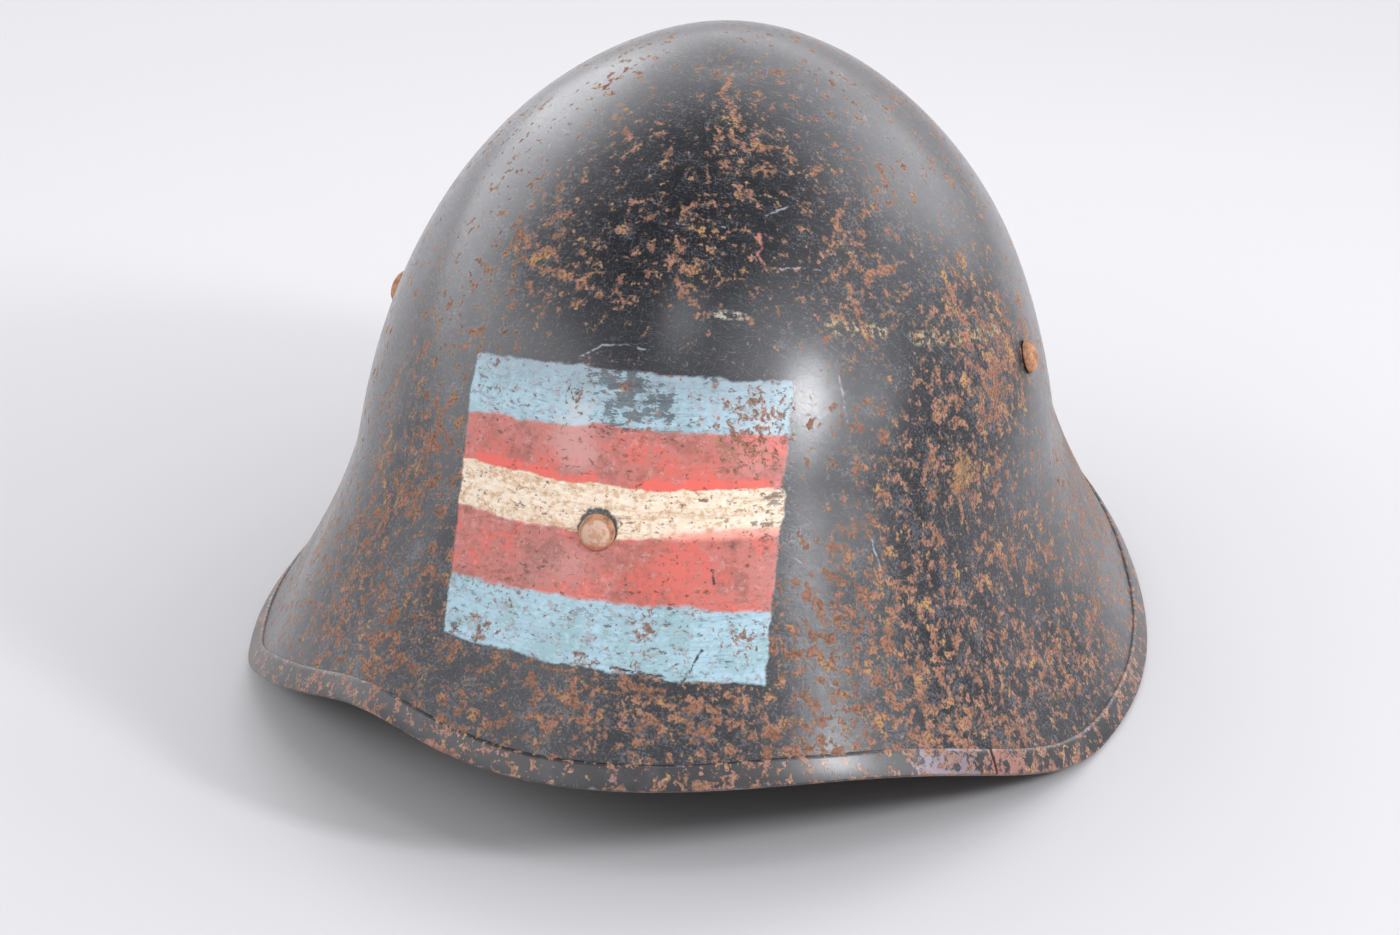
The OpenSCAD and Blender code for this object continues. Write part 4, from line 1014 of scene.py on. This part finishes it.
# The four shell rivets: a domed head forged a little uneven, a shank and a closed end inside
rivets = {
    "radius": 4.7, "dome": 2.6, "shank": 2.25, "gap": 0.1, "closedRadius": 3.55, "closedDepth": 1.3,
    "shankIn": 3.95, "endHeight": 83, "sideHeight": 92, "around": 72, "rings": 14, "lip": 0.25,
    "forged": 0.10, "forgedSize": 2.2, "sharp": 40,
    "places": (("rivet_front", 0), ("rivet_left", 90), ("rivet_rear", 180), ("rivet_right", 270)),
}


def makeRivet(name, angle, material):
    # The side rivets stand in the plane that halves the helmet's length, so their angle is found from it
    atSide = angle in (90, 270)
    z = rivets["sideHeight" if atSide else "endHeight"] - dome["edgeLift"]
    domeAngle = float(angle)
    if atSide:
        lean = (centreY + leanAt(z)) / float(domeReach(90.0, z))
        domeAngle = math.degrees(math.acos(lean)) * (1 if angle == 90 else -1)
    foot, normal = outerPoint(domeAngle, z), outwardNormal(domeAngle, z)
    axis = direction(math.radians(angle), math.asin(normal[2]))
    across = axis.orthogonal().normalized()
    other = axis.cross(across)
    r, shank, gap, lip = rivets["radius"], rivets["shank"], rivets["gap"], rivets["lip"]
    closed, tail = rivets["closedRadius"], -rivets["shankIn"]
    end = tail - rivets["closedDepth"]
    profile = [(0, end), (closed - 0.5, end), (closed, end + 0.5), (closed, tail),
               (shank, tail), (shank, gap), (r - lip, gap), (r, gap + lip)]
    for i in range(1, rivets["rings"] + 1):
        out = math.cos(i / rivets["rings"] * math.pi / 2)
        rise = (1 - out ** 2.3) ** 0.62
        profile.append((r * out, gap + lip + (rivets["dome"] - lip) * rise))
    around, rows, points = rivets["around"], len(profile) - 2, []
    for out, rise in profile[1:-1]:
        for i in range(around):
            t = 2 * math.pi * i / around
            spot = Vector((out * math.cos(t), out * math.sin(t), angle)) / rivets["forgedSize"]
            beat = rivets["forged"] * noise.noise(spot) if rise > gap else 0
            flat = across * math.cos(t) * (out + beat) + other * math.sin(t) * (out + beat)
            points.append(Vector(foot) + (flat + axis * (rise - abs(beat))) * mm)
    faces = rowFaces(rows, around)
    for rise, row, flip in ((profile[0][1], 0, 1), (profile[-1][1], rows - 1, -1)):
        points.append(Vector(foot) + axis * rise * mm)
        ring = [row * around + i for i in range(around)][::flip]
        faces += [(ring[i], ring[(i + 1) % around], len(points) - 1) for i in range(around)]
    piece = makeObject(name + "_domed", points, faces, material, "helmet")
    fixNormals(piece, rivets["sharp"])
    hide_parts(name)


for rivetName, rivetAngle in rivets["places"]:
    makeRivet(rivetName, rivetAngle, rivetPainted if rivetName == "rivet_front" else rivetRust)
note("rivets")


# The liner, in millimetres, on the same ovals as the solids. Its seams give each stitch's pitch and length.
liner = {
    "halfLength": 99, "halfWidth": 77, "feltDepth": 2.2, "felt": 4.0, "seat": 0.3,
    "bandZ": 60, "bandHeight": 18, "feltHeight": 30, "feltDrop": 3, "feltHalfAngle": 26,
    "headbandZ": 44, "headbandHeight": 38, "leather": 2.0, "bulge": 1.0,
    "leaves": 8, "leaf": 1.6, "leafTop": 137, "leafFill": 0.86, "hemWidth": 12, "laceRing": 20, "lace": 2.4,
    "turnGap": 0.3, "stitchRise": 6.5, "stitchPitch": 4.6, "stitch": 3.1, "leafStitch": 2.6, "thread": 0.55,
}
liner["headDepth"] = liner["feltDepth"] + liner["felt"] + liner["seat"]
liner["headTop"] = liner["headbandZ"] + liner["headbandHeight"]
liner["leafRoot"] = liner["headTop"] + liner["seat"]
liner["hemRadius"] = liner["lace"] / 2 + liner["turnGap"] + liner["leaf"] / 2
liner["laceZ"] = liner["leafTop"] - liner["hemRadius"]


# A point some way inside the liner's oval
def ovalPoint(angle, deep):
    turn, halfWidth, halfLength = math.radians(angle), liner["halfWidth"] - deep, liner["halfLength"] - deep
    return Vector((halfWidth * math.sin(turn), -halfLength * math.cos(turn), 0))


# The leather headband, with a rolled and stitched lower edge and soft creases
def makeHeadband():
    around, depth, t = 288, liner["headDepth"], liner["leather"]
    z, h = liner["headbandZ"], liner["headbandHeight"]
    outerSide = [(depth + 0.1, z + h - 0.3)]
    outerSide += [(depth, z + h * s) for s in (0.96, 0.85, 0.7, 0.5, 0.3, 0.16)]
    roll = [(depth + t / 2 - (t / 2 + 0.55) * math.cos(a), z + 1.7 - 1.7 * math.sin(a))
            for a in (math.radians(d) for d in range(0, 181, 22))]
    innerSide = [(depth + t + liner["bulge"] * math.sin(math.pi * s), z + h * s)
                 for s in (0.12, 0.2, 0.3, 0.4, 0.5, 0.6, 0.7, 0.8, 0.9, 0.96)]
    innerSide += [(depth + t - 0.1, z + h - 0.3), (depth + t / 2, z + h)]
    section = outerSide + roll + innerSide
    points = []
    for deep, height in section:
        for i in range(around):
            spot = ovalPoint(i * 360 / around, deep) + Vector((0, 0, height))
            inward = -ovalPoint(i * 360 / around, 0).normalized()
            drawn = Vector((spot.x, spot.y, spot.z * 0.2))
            crease = noise.noise(spot / 14) * 0.35 + noise.noise(drawn / 5) * 0.18
            if deep > depth + 0.5:
                spot += inward * crease * min((height - z) / 6, 1)
            if height > z + h - 2:
                spot.z += 0.25 * noise.noise(spot / 9)
            points.append(spot * mm)
    faces = rowFaces(len(section), around, flip=True, looped=True)
    piece = makeObject("headband_leather", points, faces, sweatLeather, "helmet")
    fixNormals(piece)
    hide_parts("headband")
    # The seam of the rolled edge: a stitch each time a walk round the band has gone one pitch
    seam, gone, last = [], 0, ovalPoint(0, depth + t)
    deep = depth + t + liner["bulge"] * math.sin(math.pi * 0.17)
    for angle in (i / 10 for i in range(1, 3601)):
        now = ovalPoint(angle, depth + t)
        gone += (now - last).length
        last = now
        if gone >= liner["stitchPitch"]:
            gone -= liner["stitchPitch"]
            spot = ovalPoint(angle, deep) + Vector((0, 0, z + liner["stitchRise"]))
            ahead = (ovalPoint(angle + 0.5, deep) - ovalPoint(angle - 0.5, deep)).normalized()
            seam.append((spot, ahead, -ovalPoint(angle, 0).normalized()))
    makeStitches("headband_stitches", seam, liner["stitch"], "helmet")


# A row of stitches: short arched lengths of thread, each sunk at its ends. Each has its place, the
# direction it runs in and the side it lies on.
def makeStitches(name, seam, length, body, thick=liner["thread"]):
    points, faces, steps, sides = [], [], 6, 6
    for spot, ahead, out in seam:
        side = ahead.cross(out).normalized()
        first = len(points)
        for j in range(steps + 1):
            s = j / steps
            centre = spot + ahead * length * (s - 0.5) + out * (0.38 * math.sin(math.pi * s) - 0.12)
            r = thick / 2 * (0.55 + 0.45 * math.sin(math.pi * s))
            for k in range(sides):
                turn = 2 * math.pi * k / sides
                points.append((centre + (out * math.cos(turn) + side * math.sin(turn)) * r) * mm)
        faces += rowFaces(steps + 1, sides, first)
        faces.append(tuple(first + k for k in reversed(range(sides))))
        faces.append(tuple(first + steps * sides + k for k in range(sides)))
    piece = makeObject(name, points, faces, threadLinen, body)
    fixNormals(piece)


# Felt pads behind the leather: thick, a little crowned, with soft edges
def makeFelt(name, middle):
    across, up, depth = 40, 14, liner["felt"]
    half, height = liner["feltHalfAngle"], liner["feltHeight"]
    base = liner["bandZ"] + liner["bandHeight"] / 2 - height / 2 - liner["feltDrop"]
    points = []
    for inner in (False, True):
        for j in range(up + 1):
            for i in range(across + 1):
                u, v = 2 * i / across - 1, 2 * j / up - 1
                edge = max(abs(u) ** 12, abs(v) ** 6)
                soft = 0.9 * (1 - max(0, 1 - edge) ** 0.5)
                deep = liner["feltDepth"] + (depth - soft if inner else soft)
                pull = 1 - 0.012 * (1 - v * v)
                spot = ovalPoint(middle + half * u * pull, deep)
                spot.z = base + height * (v + 1) / 2
                fuzz = 0.22 * noise.noise(spot / 2.2) + 0.12 * noise.noise(spot / 0.9) - 0.1
                outward = ovalPoint(middle + half * u, 0).normalized()
                spot += outward * (fuzz if inner else -fuzz)
                points.append(spot * mm)
    piece = makeObject(name + "_pad", points, sheetFaces(up + 1, across + 1), felt, "helmet")
    fixNormals(piece)
    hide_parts(name)


def aroundAt(radius, angle, z):
    turn = math.radians(angle)
    return Vector((radius * math.sin(turn), -radius * math.cos(turn), z))


# A point of the crown's dome, over an angle of the headband and at a turn of 0 to 90 degrees up it
def crownPoint(angle, turn):
    foot = ovalPoint(angle, liner["headDepth"] + liner["leather"] / 2)
    radius = liner["laceRing"] + (foot.length - liner["laceRing"]) * math.cos(math.radians(turn))
    z = liner["leafRoot"] + (liner["leafTop"] - liner["leafRoot"]) * math.sin(math.radians(turn))
    return aroundAt(radius, math.degrees(math.atan2(foot.x, -foot.y)), z)


# The middle sheet of a leaf: across from -1 to 1, and along from the root (0) over the dome (1)
# and round the lace (up to 2); below 0 it is the root, sewn inside the headband
def leafPoint(k, across, along):
    step = 360 / liner["leaves"]
    mid = (k + 0.5) * step
    straight = aroundAt(across * liner["hemWidth"] / 2, mid + 90, 0)
    if along < 0:
        drop = -along * 9
        deep = liner["headDepth"] + liner["leather"] / 2 + 2.3 * min(-along * 2.2, 1) ** 0.8
        angle = mid + across * liner["leafFill"] * step / 2
        return ovalPoint(angle, deep) + Vector((0, 0, liner["leafRoot"] - drop))
    if along > 1:
        turn = math.radians(90 + 250 * (along - 1))
        return (aroundAt(liner["laceRing"], mid, liner["laceZ"]) + straight
                + aroundAt(liner["hemRadius"] * math.cos(turn), mid, liner["hemRadius"] * math.sin(turn)))
    turn = 90 * along
    root = crownPoint(mid + across * liner["leafFill"] * step / 2, turn)
    middle = crownPoint(mid, turn)
    tip = aroundAt(math.hypot(middle.x, middle.y), mid, middle.z) + straight
    share = max(math.cos(math.radians(turn)), 0) ** 0.75
    return root * share + tip * (1 - share)


def makeLeaf(k):
    columns, rows, name = 22, 78, "leaf_%d" % (k + 1)
    alongs = [-1 + 3 * j / rows for j in range(rows + 1)]
    acrosses = [-1 + 2 * i / columns for i in range(columns + 1)]
    sheet = [[leafPoint(k, across, along) for across in acrosses] for along in alongs]
    points = []
    for side in (1, -1):
        for j, along in enumerate(alongs):
            loose = max(0, math.sin(math.pi * min(max(along, 0), 1)))
            for i, across in enumerate(acrosses):
                a, b = sheet[max(j - 1, 0)][i], sheet[min(j + 1, rows)][i]
                c, d = sheet[j][max(i - 1, 0)], sheet[j][min(i + 1, columns)]
                normal = (d - c).cross(b - a).normalized()
                soft = 1 - abs(across) ** 10 * 0.55
                spot = sheet[j][i].copy()
                spot += normal * (0.5 * noise.noise(spot / 12 + Vector((k, 0, 0))) * loose)
                points.append((spot + normal * side * liner["leaf"] / 2 * soft) * mm)
    faces = sheetFaces(rows + 1, columns + 1)
    piece = makeObject(name + "_leather", points, faces, leafLeather, "helmet")
    fixNormals(piece)
    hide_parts(name)
    # Two seams hold it: one through the headband and one that closes the hem
    seam = []
    for along, count in ((-0.62, 9), (0.80, 4)):
        for i in range(count):
            across = (-1 + 2 * (i + 0.5) / count) * 0.9
            here = leafPoint(k, across, along)
            ahead = (leafPoint(k, across + 0.05, along) - leafPoint(k, across - 0.05, along)).normalized()
            upward = (leafPoint(k, across, along + 0.02) - leafPoint(k, across, along - 0.02)).normalized()
            inward = ahead.cross(upward).normalized()
            if inward.dot(Vector((-here.x, -here.y, -abs(here.z) * 0.5))) < 0:
                inward = -inward
            seam.append((here + inward * liner["leaf"] / 2, ahead, inward))
    makeStitches(name + "_stitches", seam, liner["leafStitch"], "helmet")


# The lace runs through the eight hems; between them it eases in to straight runs
def makeLace():
    route = []
    for k in range(liner["leaves"]):
        mid = (k + 0.5) * 360 / liner["leaves"]
        middle = aroundAt(liner["laceRing"], mid, liner["laceZ"])
        for s in (-1.0, -0.5, 0.0, 0.5, 1.0):
            spot = middle + aroundAt(s * liner["hemWidth"] / 2, mid + 90, 0)
            route.append(spot + Vector((0, 0, 0.15 * math.sin(k * 2 + s))))
    # A smooth curve through the route's points, six steps from each to the next
    centres, count = [], len(route)
    for i in range(count):
        a, b, c, d = route[i - 1], route[i], route[(i + 1) % count], route[(i + 2) % count]
        for t in (j / 6 for j in range(6)):
            centres.append(0.5 * ((2 * b) + (c - a) * t + (2 * a - 5 * b + 4 * c - d) * t * t
                                  + (3 * b - a - 3 * c + d) * t ** 3))
    points, count, sides = [], len(centres), 14
    radius = liner["lace"] / 2 * 0.97
    for i, centre in enumerate(centres):
        ahead = (centres[(i + 1) % count] - centres[i - 1]).normalized()
        side = ahead.cross(Vector((0, 0, 1))).normalized()
        up = side.cross(ahead)
        for turn in (2 * math.pi * s / sides for s in range(sides)):
            points.append((centre + (side * math.cos(turn) + up * math.sin(turn)) * radius) * mm)
    faces = rowFaces(count, sides, looped=True)
    piece = makeObject("crown_lace_cord", points, faces, laceCotton, "helmet")
    fixNormals(piece)
    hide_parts("crown_lace")


makeHeadband()
for padName, padAngle in (("felt_front", 0), ("felt_left", 90), ("felt_rear", 180), ("felt_right", 270)):
    makeFelt(padName, padAngle)
for leafIndex in range(liner["leaves"]):
    makeLeaf(leafIndex)
makeLace()
note("liner")


# The chinstrap, stowed: each half goes round its loop's bar, up the inside and over under the leaves
strap = {
    "width": 18, "sheet": 2.0, "ply": 2.3, "loopX": 79.6, "barZ": 36, "foldRadius": 2.8, "stowX": 62.3,
    "turnIn": 5, "plyRise": 16, "bendZ": 86, "bendRadius": 46, "longRise": 104, "shortRise": 84,
    "longReturn": 62, "hairpin": 2.6, "holes": 4, "holePitch": 12, "hole": 3.2, "rivetRise": 9,
    "buckleFold": 2.5, "slot": 3.4, "buckleRivetBack": 21, "edge": 0.5, "bore": 1.4, "step": 0.7,
    "stitchPitch": 3.6, "stitch": 2.5, "thread": 0.5, "stitchIn": 1.9, "seamFrom": 62, "seamBack": 100,
}
strap["riseZ"] = strap["barZ"] + strap["foldRadius"] + strap["turnIn"]
strap["bendX"] = strap["stowX"] - strap["bendRadius"]
strap["backRadius"] = strap["bendRadius"] - 2 * strap["hairpin"]


# Points along an arc, from one angle to another in degrees
def arcLine(centre, radius, start, end, count):
    turns = [math.radians(start + (end - start) * i / count) for i in range(count + 1)]
    return [(centre[0] + radius * math.cos(t), centre[1] + radius * math.sin(t)) for t in turns]


# A point of the strap's bend over the crown, and the angle of it that a length up the strap gives
def bendPoint(radius, angle):
    return arcLine((strap["bendX"], strap["bendZ"]), radius, angle, angle, 1)[0]


def bendAngle(rise):
    return math.degrees((rise - (strap["bendZ"] - strap["riseZ"])) / strap["bendRadius"])


# The part both halves share: from the end of the turn-in down, round the loop's bar and up again
def lowerLine():
    turnIn, x = (strap["stowX"] + strap["turnIn"], strap["riseZ"]), strap["stowX"] - strap["ply"]
    runZ = strap["barZ"] + strap["foldRadius"] - strap["ply"]
    return ([(x, strap["riseZ"] + strap["plyRise"]), (x, strap["riseZ"] + 8)]
            + arcLine(turnIn, strap["turnIn"] + strap["ply"], 180, 270, 12) + [(turnIn[0] + 5, runZ)]
            + arcLine((strap["loopX"], strap["barZ"]), strap["foldRadius"], -108, 90, 20)
            + arcLine(turnIn, strap["turnIn"], 270, 180, 12))


# The same line in steps of one length
def evenly(line):
    spots, gone, step = [Vector(line[0])], 0.0, strap["step"]
    for a, b in zip(line, line[1:]):
        a, b = Vector(a), Vector(b)
        length = (b - a).length
        while gone + length >= step:
            a = a + (b - a).normalized() * (step - gone)
            spots.append(a.copy())
            length, gone = (b - a).length, 0.0
        gone += length
    if (Vector(line[-1]) - spots[-1]).length > 0.3 * step:
        spots.append(Vector(line[-1]))
    else:
        spots[-1] = Vector(line[-1])
    return spots


# A ribbon of leather swept along a line in an upright plane, with softened edges and a rounded tip.
# Side is 1 on the wearer's left and -1 on the right. Cuts are holes (length along the line, half
# length, half width): their cells are left out and walled.
def makeRibbon(name, line, side, body, cuts, tip=0):
    half, t, edge = strap["width"] / 2, strap["sheet"] / 2, strap["edge"]
    across = [-1 + 2 * i / 26 for i in range(27)]
    lengths = [0.0]
    for a, b in zip(line, line[1:]):
        lengths.append(lengths[-1] + (b - a).length)
    total = lengths[-1]
    normals = []
    for i, p in enumerate(line):
        ahead = (line[min(i + 1, len(line) - 1)] - line[max(i - 1, 0)]).normalized()
        normals.append(Vector((ahead.y, -ahead.x)))

    def at(i, u, face):
        left = total - lengths[i]
        wide = half
        if tip and left < tip:
            wide = half * max(1 - (1 - left / tip) ** 2.2, 0.02) ** 0.5
        lift = t * face
        rim = half - abs(u) * half
        if rim < edge:
            lift *= 1 - 0.75 * (1 - rim / edge) ** 2
        y = u * wide
        wear = 0.10 * noise.noise(Vector((lengths[i] / 9, u * 1.4, side * 3))) * face
        p = line[i] + normals[i] * (lift + wear)
        return Vector((side * p.x, side * y, p.y)) * mm

    def isCut(i, u):
        return any(((lengths[i] - s) / a) ** 2 + (u * half / b) ** 2 < 1 for s, a, b in cuts)

    points, faces = [], []
    rows, columns = len(line), len(across)
    for face in (1, -1):
        for i in range(rows):
            points += [at(i, u, face) for u in across]
    layer = rows * columns
    cells = {}
    for i in range(rows - 1):
        for j in range(columns - 1):
            cells[i, j] = not isCut(i, (across[j] + across[j + 1]) / 2)
    for (i, j), kept in cells.items():
        if not kept:
            continue
        a, b = i * columns + j, i * columns + j + 1
        c, d = a + columns, b + columns
        faces.append((a, b, d, c))
        faces.append((layer + a, layer + c, layer + d, layer + b))
        for other, p, q in (((i - 1, j), a, b), ((i + 1, j), d, c), ((i, j - 1), c, a), ((i, j + 1), b, d)):
            if not cells.get(other, False):
                faces.append((q, p, layer + p, layer + q))
    piece = makeObject(name, points, faces, strapLeather, body)
    fixNormals(piece, 50)
    return piece, lengths, normals


# Two rows of stitching along the long half's edges, on the side that faces the head
def stitchStrap(line, lengths, normals):
    seam, end = [], lengths[-1] - strap["seamBack"]
    for edge in (-1, 1):
        reach = strap["seamFrom"]
        for i in range(1, len(line) - 1):
            if reach <= lengths[i] <= end:
                reach += strap["stitchPitch"]
                ahead = (line[i + 1] - line[i - 1]).normalized()
                p = line[i] - normals[i] * (strap["sheet"] / 2 + 0.05)
                spot = Vector((p.x, edge * (strap["width"] / 2 - strap["stitchIn"]), p.y))
                seam.append((spot, Vector((ahead.x, 0, ahead.y)), Vector((-normals[i].x, 0, -normals[i].y))))
    makeStitches("chinstrap_long_stitches", seam, strap["stitch"], "chinstrap_long_half",
                 thick=strap["thread"])


# How far along a line it comes closest to a spot
def lengthTo(line, spot):
    best, gone, reached = None, 0.0, 0.0
    for a, b in zip(line, line[1:]):
        far = (Vector(b) - Vector(spot)).length
        gone += (Vector(b) - Vector(a)).length
        if best is None or far < best:
            best, reached = far, gone
    return reached


# The long half goes over the top and doubles back in a hairpin to its punched and rounded end. The
# short half ends in a fold round the buckle's bar, with a slot in it for the prong.
def makeStraps():
    bend, back, inner = strap["bendRadius"], strap["backRadius"], strap["bendRadius"] - strap["ply"]
    hairpin, fold, bore, hole = strap["hairpin"], strap["buckleFold"], strap["bore"], strap["hole"] / 2
    centre, top = (strap["bendX"], strap["bendZ"]), bendAngle(strap["longRise"])
    tail = strap["longReturn"] - math.radians(back * top)
    line = lowerLine() + arcLine(centre, bend, 0, top, 30)
    line += arcLine(bendPoint(bend - hairpin, top), hairpin, top + 12, top + 180, 14)
    line += arcLine(centre, back, top - 3, 0, 30) + [(strap["bendX"] + back, strap["bendZ"] - tail)]
    spots = evenly(line)
    rivetZ = strap["riseZ"] + strap["rivetRise"]
    bores = [(strap["stowX"] - strap["ply"], rivetZ), (strap["stowX"], rivetZ)]
    spacing = math.degrees(strap["holePitch"] / back)
    punched = [bendPoint(back, 8 + i * spacing) for i in range(strap["holes"])]
    cuts = [(lengthTo(spots, p), hole, hole) for p in punched]
    cuts += [(lengthTo(spots, p), bore, bore) for p in bores]
    piece, lengths, normals = makeRibbon("chinstrap_long", spots, 1, "chinstrap_long_half", cuts, tip=9)
    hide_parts("strap_long")
    stitchStrap(spots, lengths, normals)

    top = bendAngle(strap["shortRise"])
    line = lowerLine() + arcLine(centre, bend, 0, top, 26)
    line += arcLine(bendPoint(bend - fold, top), fold, top + 12, top + 180, 14)
    line += arcLine(centre, inner, top - 6, top - 26, 12)
    spots = evenly(line)
    slotAt = lengthTo(spots, bendPoint(bend, top - 1)) + math.pi * fold / 2
    riveted = top - strap["buckleRivetBack"]
    bores += [bendPoint(bend, riveted), bendPoint(inner, riveted)]
    cuts = [(slotAt, 5.2, strap["slot"] / 2)] + [(lengthTo(spots, p), bore, bore) for p in bores]
    piece = makeRibbon("chinstrap_short", spots, -1, "chinstrap_short_half", cuts)[0]
    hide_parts("strap_short")


# The keeper: a leather loop that slides on the root of the short half
keeperBand = {
    "z": 61.3, "height": 9.0, "sheet": 1.5, "insideX": 4.6, "insideY": 18.6, "outerX": 65.1, "corner": 0.9,
    "soft": 0.35, "around": 96,
}


def makeKeeper():
    k, t, h, soft = keeperBand, keeperBand["sheet"], keeperBand["height"], keeperBand["soft"]
    middle = Vector((-k["outerX"] + t + k["insideX"] / 2, 0, 0))
    a, b, corner = k["insideX"] / 2, k["insideY"] / 2, k["corner"]
    section = [(0.0, 0.25), (0.0, h - 0.25), (soft, h), (t - soft, h),
               (t, h - soft), (t, soft), (t - soft, 0.0), (soft, 0.0)]
    points = []
    for i in range(k["around"]):
        turn = 2 * math.pi * i / k["around"]
        c, s = math.cos(turn), math.sin(turn)
        for out, z in section:
            r = corner + out
            x = math.copysign(a - corner, c) + r * c if abs(c) > 1e-9 else 0
            y = math.copysign(b - corner, s) + r * s if abs(s) > 1e-9 else 0
            points.append((Vector((x, y, k["z"] + z)) + middle) * mm)
    faces = rowFaces(k["around"], len(section), looped=True)
    piece = makeObject("keeper_leather", points, faces, strapLeather, "keeper")
    fixNormals(piece, 50)
    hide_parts("keeper")
    seam = [(Vector((middle.x + a + t, y, k["z"] + z)), Vector((0, 0, 1)), Vector((1, 0, 0)))
            for y in (-2.2, 2.2) for z in (2.4, 6.4)]
    makeStitches("keeper_stitches", seam, 2.4, "keeper", thick=strap["thread"])


makeStraps()
makeKeeper()
note("chinstrap")


# Pieces whose solids keep their shape get their finish here
finishes = {
    "liner_band": steel, "buckle_rivet": brass, "strap_rivet_long": brass, "strap_rivet_short": brass,
    "buckle_frame": brass, "buckle_prong": brass, "strap_loop_left": steel, "strap_loop_right": steel,
    "strap_tab_left": steel, "strap_tab_right": steel,
}
for place in ("front", "left", "rear", "right"):
    finishes["washer_" + place] = steel
    finishes["bracket_" + place] = steel
    finishes["band_rivet_" + place] = steel
for nodeName, finish in finishes.items():
    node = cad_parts[nodeName]
    for holder in node.material_slots:
        holder.material = finish
    if not node.material_slots:
        node.data.materials.append(finish)
note("finishes")

# Light: a white room with a dark ceiling, a small strong softbox to the right, and broad soft panels
# behind and at the sides that draw the dome's form. Panels: angle from the front to the wearer's
# left, elevation in degrees, distance and size in metres, and strength (1 is a white wall).
light = {
    "room": 0.40, "roomWhite": "#ffffff", "backdrop": "#e4e3e6", "ceiling": "#626264",
    "floor": "#d3d2d4", "floorSize": 6.0, "floorFrom": 0.25, "floorTo": 0.8, "aim": (0, 0, 0.09),
    "lamp": "#fafbff", "flag": "#3c3c40", "flagToward": (0.86, 0.50, 0.09), "flagReach": (0.90, 0.97),
    "ceilingReach": (0.68, 0.90),
}
panels = {
    "softbox_right": (70, 30, 1.5, (0.22, 0.28), 52.0), "spot_above": (14, 62, 1.6, (0.34, 0.28), 6.0),
    "panel_behind": (180, 38, 1.7, (3.2, 1.6), 1.2), "panel_left": (-114, 20, 1.7, (2.4, 0.9), 2.0),
    "panel_front_left": (-44, 34, 1.9, (2.2, 0.7), 2.2), "panel_front": (10, 41, 1.9, (1.0, 0.5), 1.0),
    "panel_upper_right": (62, 48, 1.9, (1.1, 0.85), 1.7), "panel_side": (98, 26, 1.7, (0.7, 0.8), 1.2),
    "panel_glow": (86, 17, 1.5, (0.46, 0.34), 3.4),
    "panel_right": (137, 20, 1.7, (1.3, 1.0), 1.3),
}


def makeWorld():
    world = bpy.data.worlds.new("white_room")
    bpy.context.scene.world = world
    world.use_nodes = True
    world.node_tree.nodes.clear()
    add = partial(addNode, world.node_tree)
    path = add("LightPath").outputs
    toward = add("TexCoord").outputs["Generated"]
    # The camera sees a plain pale backdrop, and gloss sees the same with the ceiling above it
    overhead = add("SeparateXYZ", {}, toward).outputs["Z"]
    overhead = add("MapRange", smooth, overhead, *light["ceilingReach"])
    overhead = add("Math", times, overhead, path["Is Glossy Ray"])
    # A dark flag low on the right keeps the flank there black
    flag = add("VectorMath", dot, toward, light["flagToward"]).outputs["Value"]
    flag = add("MapRange", smooth, flag, *light["flagReach"])
    flag = add("Math", times, flag, path["Is Glossy Ray"])
    seen = add("Math", larger, path["Is Camera Ray"], path["Is Glossy Ray"])
    seen = add("Math", larger, seen, path["Is Transmission Ray"])
    wall = add("Mix", colours, overhead, light["backdrop"], light["ceiling"])
    wall = add("Mix", colours, flag, wall, light["flag"])
    lamp = add("Background", {}, light["roomWhite"], light["room"])
    wall = add("Background", {}, wall)
    add("OutputWorld", {}, Surface=add("MixShader", {}, seen, lamp, wall))


def makePanel(name, angle, elevation, far, size, strength):
    data = bpy.data.lights.new(name, "AREA")
    data.shape = "RECTANGLE"
    data.size, data.size_y = size
    data.energy = strength * math.pi * size[0] * size[1]
    data.color = hexColour(light["lamp"])[:3]
    toward = direction(math.radians(angle), math.radians(elevation))
    lamp = bpy.data.objects.new(name, data)
    lamp.location = Vector(light["aim"]) + toward * far
    lamp.rotation_euler = toward.to_track_quat("Z", "Y").to_euler()
    lamp.visible_camera = False
    bpy.context.scene.collection.objects.link(lamp)


def makeFloor():
    half = light["floorSize"] / 2
    corners = [(-half, -half, 0), (half, -half, 0), (half, half, 0), (-half, half, 0)]
    mesh = bpy.data.meshes.new("floor")
    mesh.from_pydata(corners, [], [(0, 1, 2, 3)])
    floor = bpy.data.objects.new("floor", mesh)
    floor.location.z = cadBox[0].z
    bpy.context.scene.collection.objects.link(floor)
    material, add, shader = newMaterial("matte_table_top")
    fillSockets(shader, BaseColor=light["floor"], Roughness=0.9, SpecularIORLevel=0.2)
    # Away from the object the camera sees the backdrop's own colour, so the floor has no edge
    away = add("NewGeometry")
    away = add("VectorMath", {"operation": "LENGTH"}, away).outputs["Value"]
    away = add("MapRange", smooth, away, light["floorFrom"], light["floorTo"])
    away = add("Math", times, away, add("LightPath").outputs["Is Camera Ray"])
    paper = add("Emission", {}, light["backdrop"], 1.0)
    output = next(node for node in material.node_tree.nodes if node.type == "OUTPUT_MATERIAL")
    fillSockets(output, Surface=add("MixShader", {}, away, shader, paper))
    mesh.materials.append(material)


makeWorld()
makeFloor()
for panelName, panel in panels.items():
    makePanel(panelName, *panel)
bpy.context.scene.view_settings.view_transform = "Standard"
note("stage and lights")

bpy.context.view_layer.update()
note("finished")
